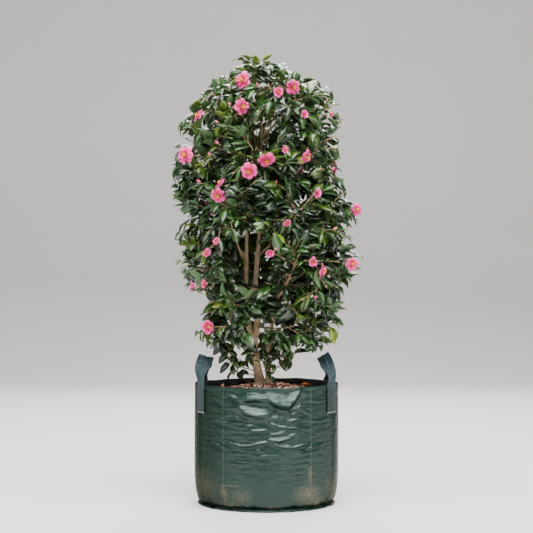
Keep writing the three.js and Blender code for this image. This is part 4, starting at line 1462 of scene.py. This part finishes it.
def knots_on(line, random):
    """Where other limbs leave this one, and a few old scars between"""
    found = []
    for mass in masses:
        other = mass.bough or mass.stem
        start = other.course(0)
        t = np.linspace(0, 1, 200)
        away = np.linalg.norm(line.course(t) - start, axis=1)
        if away.min() < 0.004:
            found.append((float(t[away.argmin()]) * line.length(), random.uniform(-3, 3)))
    for _ in range(round(line.length() / SCAR_SPACING)):
        found.append((random.uniform(0, line.length()), random.uniform(-3, 3)))
    return found


def present_limbs():
    random = np.random.default_rng(5)
    for stem, sides in ((trunk, 28), (left_leader, 20), (back_stem, 20)):
        piece = bark_limb(stem, sides, STEM_RING_STEP, knots_on(stem, random))
        present(piece, "bark", (BARK,), stem.name)
    for mass in masses:
        if mass.bough:
            piece = bark_limb(mass.bough, 14, BOUGH_RING_STEP, [(0.0, 0.0)])
            present(piece, "bark", (BARK,), mass.bough.name)


present_limbs()


# The bag

BAG_AROUND = 360
WALL_FOOT = 0.0105
LINING_FOOT = 0.32
ROW_STEP = 1.9 * MM
HEM_SEAM = 0.0115
# Below this height the rim's rise and fall no longer moves the cloth
STEADY_HEIGHT = 0.36
PUCKER_PITCH = 0.0115
RIPPLE_STEP = 0.0125
RIPPLES_TOP = 0.392
RIPPLES_FOOT = 0.085
RIPPLE_FAMILIES = ((-0.066, 0.078), (0.080, 0.076))
# On the bag's back: how strong its ripples and creases are, and how many millimetres higher its creases lie
BACK_RIPPLES = 0.85
BACK_CREASES = 0.8
BACK_LIFT = 14
# Strong creases on the front: how steeply the cloth slopes out towards each one's edge; then, in millimetres,
# the slope's height, how soon it tucks in below, and its edge, across from the middle and up from the ground
CREASES = (
    (0.46, 38, 13, ((4, 376), (21, 365), (46, 355), (73, 352), (84, 365), (97, 379), (111, 399))),
    (0.46, 24, 11, ((-82, 370), (-50, 374), (-29, 376), (-8, 371))),
    (0.55, 13, 4, ((-133, 384), (-115, 380), (-93, 373))),
    (0.62, 9, 4, ((-181, 373), (-165, 362), (-143, 355))),
    (0.44, 26, 12, ((-91, 346), (-65, 329), (-36, 321), (3, 321))),
    (0.60, 8, 4, ((-140, 312), (-115, 314), (-90, 312))),
    (0.40, 8, 4, ((11, 311), (32, 313), (57, 310))),
    (0.58, 8, 4, ((75, 299), (97, 305), (125, 305))),
    (0.40, 6, 3, ((-72, 303), (-40, 302))),
    (0.40, 6, 3, ((-72, 287), (-50, 286))),
    (0.60, 8.5, 4, ((12, 294), (39, 283), (79, 278), (140, 274))),
    (0.58, 8, 4, ((-57, 271), (-30, 270), (0, 272))),
    (0.50, 8, 4, ((10, 256), (43, 260), (61, 265))),
    (0.56, 11, 6, ((9, 240), (43, 237), (75, 245), (98, 253))),
    (0.35, 8, 3, ((79, 254), (125, 265))),
    (0.72, 8.5, 5, ((-140, 233), (-115, 224), (-86, 219), (-65, 219), (-36, 225), (-14, 231), (9, 233))),
    (0.66, 8, 4, ((-194, 224), (-172, 219), (-147, 213))),
    (0.72, 8.5, 5, ((18, 228), (43, 219), (75, 214), (93, 214), (115, 220), (147, 226))),
    (0.66, 8, 4, ((138, 209), (158, 213), (183, 217))),
    (0.28, 7, 4, ((-111, 211), (-79, 206), (-50, 205))),
    (0.25, 6, 4, ((-36, 208), (-14, 203))),
    (0.42, 7, 5, ((-18, 186), (7, 188), (39, 187))),
    (0.25, 7, 4, ((-65, 193), (-32, 186), (-14, 184))),
    (0.34, 7, 5, ((43, 208), (68, 202), (93, 199), (115, 202))),
    (0.26, 7, 4, ((75, 193), (115, 190), (147, 197))),
    (0.28, 7, 4, ((21, 174), (57, 172), (93, 170), (140, 177))),
    (0.20, 7, 4, ((-115, 161), (-79, 158), (-50, 159))),
    (0.22, 7, 4, ((-72, 140), (-14, 138), (14, 140))),
    (0.22, 7, 4, ((-36, 165), (7, 163))),
    (0.22, 7, 4, ((32, 154), (79, 150), (129, 159))),
    (0.20, 7, 4, ((39, 136), (79, 131), (122, 136))),
    (0.18, 7, 4, ((46, 118), (79, 116), (111, 120))),
    (0.16, 7, 4, ((43, 97), (79, 93))),
    (0.60, 9, 4, ((79, 337), (97, 340), (115, 351))),
    (0.40, 8, 4, ((114, 340), (130, 330), (147, 322))),
    (0.50, 8, 4, ((-178, 300), (-150, 292), (-124, 290))),
    (0.30, 8, 4, ((150, 366), (176, 362), (196, 366))),
    (0.30, 8, 4, ((150, 300), (176, 296), (200, 300))),
)


# Broad hollows below the hem, where the cloth is slack over the mix: azimuth and height, half width and half
# height, and depth in millimetres
HOLLOWS = (
    (12, 0.396, 0.060, 0.012, 3.0), (-14, 0.362, 0.040, 0.010, 3.0), (100, 0.372, 0.080, 0.020, 2.5),
    (170, 0.388, 0.070, 0.018, 3.4), (200, 0.352, 0.055, 0.016, 2.0), (-110, 0.372, 0.070, 0.020, 2.6),
)


def bag_rows():
    """The plain profile of the bag's outside, from the seam at its foot to its rim"""
    rows = [(BAG_RADIUS - 0.0225, 0.0), (BAG_RADIUS - 0.0205, 0.0035), (BAG_RADIUS - 0.0310, 0.0080)]
    for height in np.arange(WALL_FOOT, BAG_HEIGHT - 0.003, ROW_STEP):
        above = height - WALL_FOOT
        rounding = 0.0170 * math.exp(-(above / 0.030)) + 0.0080 * math.exp(-above / 0.0045)
        hem = HEM_PROUD * 0.5 * (height > BAG_HEIGHT - HEM_SEAM)
        rows.append((BAG_RADIUS - 0.0006 - rounding + hem, float(height)))
    rows.append((BAG_RADIUS + HEM_PROUD * 0.1, BAG_HEIGHT - 0.0006))
    rows.append((BAG_RADIUS - 0.0007, BAG_HEIGHT))
    inner = BAG_RADIUS - BAG_WALL
    rows.append((inner, BAG_HEIGHT - 0.0008))
    rows += [(inner - 0.0006, float(height)) for height in np.arange(BAG_HEIGHT - 0.003, 0.366, -ROW_STEP)]
    rows += [(inner - 0.016, 0.362), (inner - 0.020, 0.053), (inner - 0.036, 0.012)]
    return rows


def around(turn, azimuth):
    """How far a place lies round the bag from an azimuth, in metres of cloth"""
    difference = np.angle(np.exp(1j * (turn - math.radians(azimuth))))
    return difference * BAG_RADIUS


def ridge(rise, above, below):
    """The section across a crease: it slopes out from above to its edge, and tucks in under it."""
    swell = np.where(rise > 0, np.clip(1 - rise / above, 0, 1) ** 1.4, np.exp(-((rise / below) ** 2)))
    return swell - 0.30 * np.exp(-((rise + 2.0 * below) / (1.6 * below)) ** 2)


def crease_moves(turn, height):
    """The strong creases of the front, and, mirrored and weaker, of the back"""
    move = np.zeros(len(turn))
    for mirror, share, lift in ((1, 1.0, 0), (-1, BACK_CREASES, BACK_LIFT)):
        across = mirror * np.sin(turn) * BAG_RADIUS / MM
        facing = (np.cos(turn) * mirror > 0.2) * share
        for slope, above, below, edge in CREASES:
            x, z = np.array(edge, float).T
            soft = 6 + 0.4 * above
            fade = np.clip((across - x[0] + soft) / (2 * soft), 0, 1)
            fade = fade * np.clip((x[-1] + soft - across) / (2 * soft), 0, 1)
            rise = height / MM - np.interp(across, x, z) - lift
            move += facing * fade * slope * above * ridge(rise, above, below)
    return move * MM


def ripple_moves(turn, height):
    """The many small ripples between the creases, in two families that sag like hung threads"""
    move = np.zeros(len(turn))
    random = np.random.default_rng(23)
    for azimuth, share in ((0, 1.0), (180, BACK_RIPPLES), (90, 0.5), (-90, 0.5)):
        for middle, half in RIPPLE_FAMILIES:
            level = RIPPLES_TOP
            while level > RIPPLES_FOOT:
                strength = share * random.uniform(0.15, 0.75) * (1.2 if level > 0.14 else 0.8)
                shift = random.uniform(-0.030, 0.030)
                long = half * random.uniform(0.35, 1.0)
                dip = random.uniform(-0.002, 0.009)
                thin = random.uniform(0.0022, 0.0042)
                away = (around(turn, azimuth) - middle - shift) / long
                fade = np.clip(1 - away**2, 0, 1)
                move += strength * fade * 1.3 * MM * ridge(height - (level - dip * fade), 1.6 * thin, thin)
                level -= RIPPLE_STEP * random.uniform(0.5, 1.2)
    return move


def cloth_moves(turn, height):
    """How far the filled cloth stands out of its plain shape, or in: folds, creases, ripples and hollows"""
    move = crease_moves(turn, height) + ripple_moves(turn, height)
    for azimuth in FOLD_LINES:
        away = around(turn, azimuth)
        move += 1.0 * MM * np.exp(-np.abs(away) / (2.5 * MM))
    for azimuth, level, wide, tall, depth in HOLLOWS:
        away = around(turn, azimuth)
        rise = height - level - 0.10 * np.abs(away)
        move -= depth * MM * np.exp(-(away / wide) ** 2 - (rise / tall) ** 2)
    # A fold stands beside the foot of the right handle
    away = around(turn, 49.5) + 0.12 * (height - 0.39)
    move += 2.4 * MM * np.exp(-np.abs(away) / (2.6 * MM)) * np.exp(-((height - 0.384) / 0.020) ** 4)
    # The seam gathers the foot of the bag into waves
    low = np.exp(-((height - 0.010) / 0.020) ** 2)
    gathers = 1.9 * np.sin(9 * turn + 0.7) + 1.5 * np.sin(23 * turn + 2.0) + 1.1 * np.sin(41 * turn)
    move += low * MM * gathers
    move += 0.8 * MM * np.sin(4 * turn + 0.4 + 6 * height) + 0.5 * MM * np.sin(7 * turn + 1.3 - 9 * height)
    # The stitches of the hem pucker it
    seam = BAG_HEIGHT - HEM_SEAM
    pucker = np.sin(2 * math.pi * BAG_RADIUS * turn / PUCKER_PITCH + 2 * np.sin(11 * turn))
    slack = 0.35 + 0.9 * np.exp(-(around(turn, 0) / 0.13) ** 4)
    move += 0.8 * MM * pucker * slack * np.exp(-((height - seam + 0.006) / 0.008) ** 2)
    move -= 0.7 * MM * np.exp(-((height - seam) / 0.0014) ** 2)
    for side in (-LEG_AZIMUTH, LEG_AZIMUTH, 180 - LEG_AZIMUTH, 180 + LEG_AZIMUTH):
        under = np.exp(-(around(turn, side) / 0.036) ** 4) * (1 / (1 + np.exp(-(height - 0.305) / 0.004)))
        move = move * (1 - under) - 0.8 * MM * under
    hem = 1 / (1 + np.exp(-(height - seam) / 0.002))
    return move * (1 - 0.75 * hem)


def rim_lift(turn, height):
    """How much the rim rises and falls, fading out below it: it sags in the middle of the front"""
    wave = 0.8 * MM * np.sin(3 * turn + 0.6) + 1.0 * MM * np.sin(7 * turn + 2.1)
    wave = wave + 0.5 * MM * np.sin(17 * turn)
    wave = wave - 4.5 * MM * np.exp(-(around(turn, 2) / 0.14) ** 2)
    wave = wave + 2.5 * MM * np.exp(-(around(turn, 180) / 0.2) ** 2)
    return wave * np.clip((height - STEADY_HEIGHT) / (BAG_HEIGHT - STEADY_HEIGHT), 0, 1) ** 2


def planter_bag():
    rows = bag_rows()
    piece = begin(
        bpy.ops.mesh.primitive_circle_add, "planter_bag_cloth", vertices=BAG_AROUND, radius=rows[0][0],
        fill_type="NGON")
    pick_all()
    bpy.ops.mesh.flip_normals()
    bpy.ops.mesh.select_mode(type="EDGE")
    pick_all()
    bpy.ops.mesh.region_to_loop()
    for (radius, height), (wider, higher) in zip(rows, rows[1:]):
        bpy.ops.mesh.extrude_edges_move(TRANSFORM_OT_translate={"value": (0, 0, higher - height)})
        resize(wider / radius, wider / radius, 1)
    bpy.ops.mesh.edge_face_add()
    pick_all()
    bpy.ops.mesh.normals_make_consistent(inside=False)
    end_edit()
    lining = BAG_RADIUS - 0.9 * MM
    deal_finishes(piece, lambda middle: (np.hypot(middle[:, 0], middle[:, 1]) < lining) &
                  (middle[:, 2] > LINING_FOOT) & (middle[:, 2] < BAG_HEIGHT - 0.0003))
    places = places_of(piece)
    turn = turns_of(places)
    radius = np.hypot(places[:, 0], places[:, 1])
    height = places[:, 2].copy()
    outside = np.clip((height - 0.0080) / 0.006, 0, 1)
    move = np.where(radius > BAG_RADIUS - 0.03, cloth_moves(turn, height) * outside, 0)
    scale = (radius + move) / np.maximum(radius, 1e-9)
    places[:, 0] *= scale
    places[:, 1] *= scale
    places[:, 2] += rim_lift(turn, height)
    move_places(piece, places)
    write_uv(piece, turn * BAG_RADIUS, height)
    return present(piece, "bag_cloth", (CLOTH, BLACK_LINING), "planter_bag")


def foot_seam():
    """The seam that joins the bag's wall to its floor: a thin turned-out edge of cloth that waves a little"""
    piece = begin(
        bpy.ops.mesh.primitive_torus_add, "foot_seam", major_segments=300, minor_segments=10,
        major_radius=BAG_RADIUS - 0.0170, minor_radius=0.0026, location=(0, 0, 0.0034))
    pick_all()
    resize(1.006, 1.006, 0.8)
    end_edit()
    places = places_of(piece)
    turn = turns_of(places)
    swell = 1 + (1.5 * MM * np.sin(9 * turn + 2.4) + 1.2 * MM * np.sin(21 * turn + 1.0)) / BAG_RADIUS
    places[:, :2] *= swell[:, None]
    places[:, 2] += 0.5 * MM + 0.9 * MM * np.sin(17 * turn + 0.4) + 0.5 * MM * np.sin(37 * turn)
    places[:, 2] = np.maximum(places[:, 2], 0.0003)
    move_places(piece, places)
    write_uv(piece, turn * BAG_RADIUS, places[:, 2])
    return present(piece, "bag_cloth", (CLOTH,))


def stitch_shape():
    """One stitch along Y: a short thread that dives at both ends"""
    piece = begin(bpy.ops.mesh.primitive_cube_add, "stitch", size=1)
    pick_all()
    bpy.ops.mesh.subdivide(number_cuts=1)
    pick("VERT", lambda v: abs(v.co.y) > 0.4)
    resize(0.55, 1, 0.4)
    slide(0, 0, -0.35)
    end_edit()
    return shape_of(piece)


STITCH = stitch_shape()
STITCH_PITCH = 5.8 * MM


def add_stitch(heap, place, along, out, *size):
    """A stitch of a size in millimetres: wide, long and high"""
    shape = SimpleNamespace(**vars(STITCH))
    shape.places = STITCH.places * np.array(size) * MM
    heap.put(shape, place, along, out)


def hem_stitches():
    heap = Heap()
    count = round(2 * math.pi * BAG_RADIUS / STITCH_PITCH)
    level = BAG_HEIGHT - HEM_SEAM
    turns = 2 * math.pi * np.arange(count) / count
    moves = cloth_moves(turns, np.full(count, level))
    lifts = rim_lift(turns, level)
    for turn, move, lift in zip(turns, moves, lifts):
        out = outwards(math.degrees(turn))
        place = out * (BAG_RADIUS + HEM_PROUD * 0.4 + move - 0.1 * MM) + UP * (level + lift)
        add_stitch(heap, place, np.cross(UP, out), out, 1.2, 4.2, 0.9)
    return present(heap.joined("hem_stitches"), "bag_cloth", (THREAD,))


planter_bag()
foot_seam()
hem_stitches()


# The handles

STRAP_ROWS = 170
STRAP_COLUMNS = 18
STRAP_RADIUS = BAG_RADIUS + 0.0016
CUT_HEIGHT = STRAP_FOOT + 0.0026
# The webbing's edges, the one further from the front first: the azimuths of its feet, then its places from
# the rim to the fold at the top
FOOT_AZIMUTHS = {-1: (69.2, 56.8), 1: (69.6, 54.6)}
HANDLE_EDGES = {
    -1: (((-0.2430, -0.0880, 0.438), (-0.2010, -0.1180, 0.436)),
         ((-0.2470, -0.0640, 0.466), (-0.1950, -0.0820, 0.462)),
         ((-0.2420, -0.0280, 0.496), (-0.1890, -0.0360, 0.486)),
         ((-0.2350, -0.0060, 0.513), (-0.1840, -0.0070, 0.500))),
    1: (((0.2390, -0.0880, 0.438), (0.1990, -0.1160, 0.436)),
        ((0.2370, -0.0600, 0.464), (0.1930, -0.0820, 0.458)),
        ((0.2290, -0.0280, 0.496), (0.1850, -0.0360, 0.482)),
        ((0.2160, -0.0060, 0.520), (0.1760, -0.0070, 0.4965))),
}
# Where the webbing is creased along its length, from -1 at one edge to 1 at the other, and how deep
HANDLE_CREASES = {-1: (-0.35, 1.6), 1: (0.05, 4.2)}


def strap_edges(side):
    """The courses of the two edges of a handle's webbing: up from its front foot, over, and down behind"""
    courses = []
    for edge, azimuth in enumerate(FOOT_AZIMUTHS[side]):
        foot = outwards(side * azimuth) * STRAP_RADIUS
        front = [(*foot[:2], height) for height in (STRAP_FOOT, 0.350, 0.382, BAG_HEIGHT + 0.003)]
        front += [station[edge] for station in HANDLE_EDGES[side]]
        courses.append(through(front + [(x, -y, z) for x, y, z in front[::-1]]))
    return courses


def handle(side, name):
    """A band of webbing: its feet lie flat on the bag, and its free part curls, creases and folds over"""
    piece = begin(
        bpy.ops.mesh.primitive_grid_add, f"{name}_webbing", x_subdivisions=STRAP_COLUMNS,
        y_subdivisions=STRAP_ROWS, size=1)
    end_edit()
    flat = places_of(piece)
    share = flat[:, 0] * 2
    row = np.rint((flat[:, 1] + 0.5) * STRAP_ROWS).astype(int)
    t = np.linspace(0, 1, STRAP_ROWS + 1)
    far, near = (course(t) for course in strap_edges(side))
    middles = (far + near) / 2
    spans = (near - far) / 2
    runs = unit(np.gradient(middles, axis=0))
    faces = unit(np.cross(spans, runs)) * side
    places = middles[row] + spans[row] * share[:, None]
    rise = np.clip((middles[:, 2] - BAG_HEIGHT - 0.004) / 0.05, 0, 1)[row]
    # On the bag the webbing keeps to the round wall
    round_wall = unit(places * np.array([1, 1, 0])) * STRAP_RADIUS + places * np.array([0, 0, 1])
    places = round_wall * (1 - rise)[:, None] + places * rise[:, None]
    at, deep = HANDLE_CREASES[side]
    curl = 2.2 * (1 - share**2) - deep * np.exp(-np.abs(share - at) / 0.16)
    curl = curl + 0.8 * np.sin(5 * share + 40 * t[row])
    places += faces[row] * (curl * MM * rise**0.8)[:, None]
    move_places(piece, places)
    lengths = np.concatenate([[0], np.cumsum(np.linalg.norm(np.diff(middles, axis=0), axis=1))])
    write_uv(piece, share * STRAP_WIDTH / 2, lengths[row])
    modify(piece, "SOLIDIFY", thickness=STRAP_THICKNESS, offset=0)
    modify(piece, "BEVEL", width=0.4 * MM, segments=1, limit_method="ANGLE", angle_limit=math.radians(60))
    bpy.ops.object.mode_set(mode="EDIT")
    pick_all()
    bpy.ops.mesh.normals_make_consistent(inside=False)
    end_edit()
    deal_finishes(piece, lambda middle: (middle[:, 2] < CUT_HEIGHT).astype(int) +
                  2 * ((middle[:, 2] >= CUT_HEIGHT) & (middle[:, 2] < BAG_HEIGHT - 0.010)))
    return present(piece, "webbing", (WEBBING, CUT_END, WORN_WEBBING), name)


STITCH_RADIUS = STRAP_RADIUS + STRAP_THICKNESS / 2 + 0.1 * MM
SEAM_STEP = 4.6 * MM


def handle_stitches():
    """A box of stitches with rows down its length holds each foot of the webbing."""
    heap = Heap()
    low, high = STRAP_FOOT + 0.006, BAG_HEIGHT - 0.012

    def sew(azimuth, height, along):
        out = outwards(azimuth)
        place = out * STITCH_RADIUS + UP * height
        add_stitch(heap, place, UP if along else np.cross(UP, out), out, 0.9, 3.4, 0.8)

    for side in (-1, 1):
        middle = sum(FOOT_AZIMUTHS[side]) / 2
        half = (FOOT_AZIMUTHS[side][0] - FOOT_AZIMUTHS[side][1]) / 2
        for centre in (side * middle, side * (180 - middle)):
            for column in (-0.80, -0.48, -0.16, 0.16, 0.48, 0.80):
                for height in np.arange(low, high, SEAM_STEP):
                    sew(centre + column * half, height, True)
            for height in (low - 0.002, high):
                for column in np.linspace(-0.76, 0.76, 9):
                    sew(centre + column * half, height, False)
    return present(heap.joined("handle_stitches"), "webbing", (PALE_THREAD,))


handle(-1, "handle_left")
handle(1, "handle_right")
handle_stitches()


# The potting mix

MIX_DEPTH = 0.03
MIX_RINGS = 22
MIX_RING_STEP = 0.0105


def mix_height(x, y):
    """The top of the mix: a low mound round the trunk that falls away towards the wall"""
    radius = np.hypot(x, y)
    share = np.clip((radius - MOUND_RADIUS) / (BAG_RADIUS - MOUND_RADIUS), 0, 1)
    plain = MOUND_HEIGHT + (MIX_AT_WALL - MOUND_HEIGHT) * share**0.8
    bumps = 2.2 * MM * np.sin(38 * x + 1.1) * np.sin(44 * y + 0.3) + 1.4 * MM * np.sin(95 * x - 70 * y)
    return plain + bumps * np.clip((radius - 0.035) / 0.03, 0, 1) - 1.5 * MM


def potting_mix():
    """The mix keeps inside the creased cloth, and its side leans in below the top."""
    piece = begin(
        bpy.ops.mesh.primitive_cylinder_add, "potting_mix_surface", vertices=120, radius=BAG_RADIUS,
        depth=MIX_DEPTH, location=(0, 0, MIX_AT_WALL - MIX_DEPTH / 2), end_fill_type="NGON")
    pick("FACE", lambda f: f.normal.z > 0.9)
    for _ in range(MIX_RINGS):
        bpy.ops.mesh.inset(thickness=MIX_RING_STEP, use_even_offset=False)
    end_edit()
    places = places_of(piece)
    turn = turns_of(places)
    levels = np.arange(0.36, 0.39, 0.004)
    hollow = np.min([cloth_moves(turn, np.full(len(turn), level)) for level in levels], axis=0)
    room = BAG_WALL + 0.5 * MM - np.minimum(hollow, 0)
    top = places[:, 2] > MIX_AT_WALL - 0.001
    places[:, :2] *= (1 - (room + np.where(top, 0, 0.014)) / BAG_RADIUS)[:, None]
    places[top, 2] = mix_height(places[top, 0], places[top, 1])
    move_places(piece, places)
    return present(piece, "potting_mix", (MIX,), "potting_mix")


def chip_shape(name, length, width, thickness):
    """A broken bark chip along Y: a slab with split ends and a bowed back"""
    piece = begin(bpy.ops.mesh.primitive_cube_add, name, size=1)
    pick_all()
    bpy.ops.mesh.subdivide(number_cuts=1)
    resize(width, length, thickness)
    pick("VERT", lambda v: v.co.y > 0.4 * length)
    resize(0.5, 1, 0.5)
    pick("VERT", lambda v: v.co.y < -0.4 * length and v.co.x > 0)
    slide(0, 0.18 * length, 0)
    pick("VERT", lambda v: abs(v.co.y) < 0.1 * length)
    slide(0, 0, 0.3 * thickness)
    end_edit()
    return shape_of(piece)


CHIP_SHAPES = (
    chip_shape("chip", 16 * MM, 9 * MM, 3.5 * MM),
    chip_shape("long_chip", 22 * MM, 7 * MM, 3 * MM),
    chip_shape("square_chip", 11 * MM, 10 * MM, 4 * MM),
)
CHIPS = 1500
CHIPS_REACH = 0.234
# The shares of red, tan and dark chips
CHIP_SHARES = (0.45, 0.3, 0.25)
# The feet of the stems, which the chips keep clear of: across, deep and radius
STEM_FEET = ((-0.022, 0, 0.027), (0.008, 0.027, 0.019))


def bark_chips():
    random = np.random.default_rng(11)
    heap = Heap()
    for _ in range(CHIPS):
        radius = CHIPS_REACH * math.sqrt(random.random())
        turn = random.uniform(0, 2 * math.pi)
        x, y = radius * math.sin(turn), radius * math.cos(turn)
        if any(math.hypot(x - foot_x, y - foot_y) < clear for foot_x, foot_y, clear in STEM_FEET):
            continue
        shape = CHIP_SHAPES[random.integers(3)]
        along = np.array([*random.normal(size=2), random.uniform(-0.35, 0.35)])
        facing = UP + 0.45 * random.normal(size=3)
        finish = int(random.choice(3, p=CHIP_SHARES))
        place = np.array([x, y, mix_height(x, y) + random.uniform(0, 2.5) * MM])
        heap.put(shape, place, along, facing, random.uniform(0.45, 1.15), finish)
    return present(heap.joined("bark_chips"), "potting_mix", (CHIP_RED, CHIP_TAN, CHIP_DARK))


# Fallen leaves on the mix: across, deep, turn and size
FALLEN = (
    (0.118, -0.030, 60, 1.0), (0.086, -0.060, 150, 0.6), (-0.150, 0.020, 200, 0.8), (0.020, 0.170, 120, 0.9),
)


def fallen_leaves():
    heap = Heap()
    for x, y, turn, size in FALLEN:
        along = outwards(turn) + 0.35 * UP
        place = np.array([x, y, mix_height(x, y) + 5 * MM])
        heap.put(LEAF_SHAPES[1], place, along, UP + 0.5 * outwards(turn + 90), size * 0.75)
    return present(heap.joined("fallen_leaves"), "potting_mix", (DRY_LEAF, DRY_LEAF))


potting_mix()
bark_chips()
fallen_leaves()


# The studio: a pale floor that sweeps up behind, a white sky and five soft lights

# Each light's name, place, width and depth, and its power in watts
LIGHTS = (
    ("overhead", (0.2, -1.95, 6.0), 6.0, 3.0, 930),
    ("front_top", (0.1, -3.6, 3.6), 4.6, 0.9, 220),
    ("left_side", (-4.2, -0.2, 3.3), 2.4, 0.6, 60),
    ("front_right", (2.6, -3.6, 2.0), 2.2, 2.2, 30),
    ("behind", (0.3, 4.2, 5.0), 5.0, 5.0, 640),
)
LIT_PLACE = np.array([0, 0, 0.8])


def studio():
    piece = begin(bpy.ops.mesh.primitive_plane_add, "floor", size=24, location=(0, 0, -0.0005))
    pick("VERT", lambda v: v.co.y > 0)
    slide(0, -3, 0)
    bpy.ops.mesh.extrude_region_move(TRANSFORM_OT_translate={"value": (0, 0, 10)})
    end_edit()
    modify(piece, "BEVEL", width=2.5, segments=24)
    piece.data.shade_smooth()
    material, tree, shader, space, _ = new_material("pale_paper", Roughness=0.9)
    link(tree, shader, Base_Color=blend(tree, noise(tree, space, 0.5), "#d0cdc9", "#d6d3cf"))
    piece.data.materials.append(material)
    world = bpy.data.worlds.new("soft_sky")
    world.use_nodes = True
    background = world.node_tree.nodes["Background"]
    background.inputs["Color"].default_value = (1.0, 1.0, 1.0, 1)
    background.inputs["Strength"].default_value = 0.40
    bpy.context.scene.world = world
    for name, place, wide, deep, power in LIGHTS:
        bpy.ops.object.select_all(action="DESELECT")
        bpy.ops.object.light_add(type="AREA", location=place)
        light = bpy.context.object
        light.name = name
        light.data.shape = "RECTANGLE"
        light.data.size = wide
        light.data.size_y = deep
        light.data.energy = power
        x, y, z = LIT_PLACE - np.array(place)
        light.rotation_euler = (math.atan2(math.hypot(x, y), -z), 0, math.atan2(y, x) - math.pi / 2)


studio()
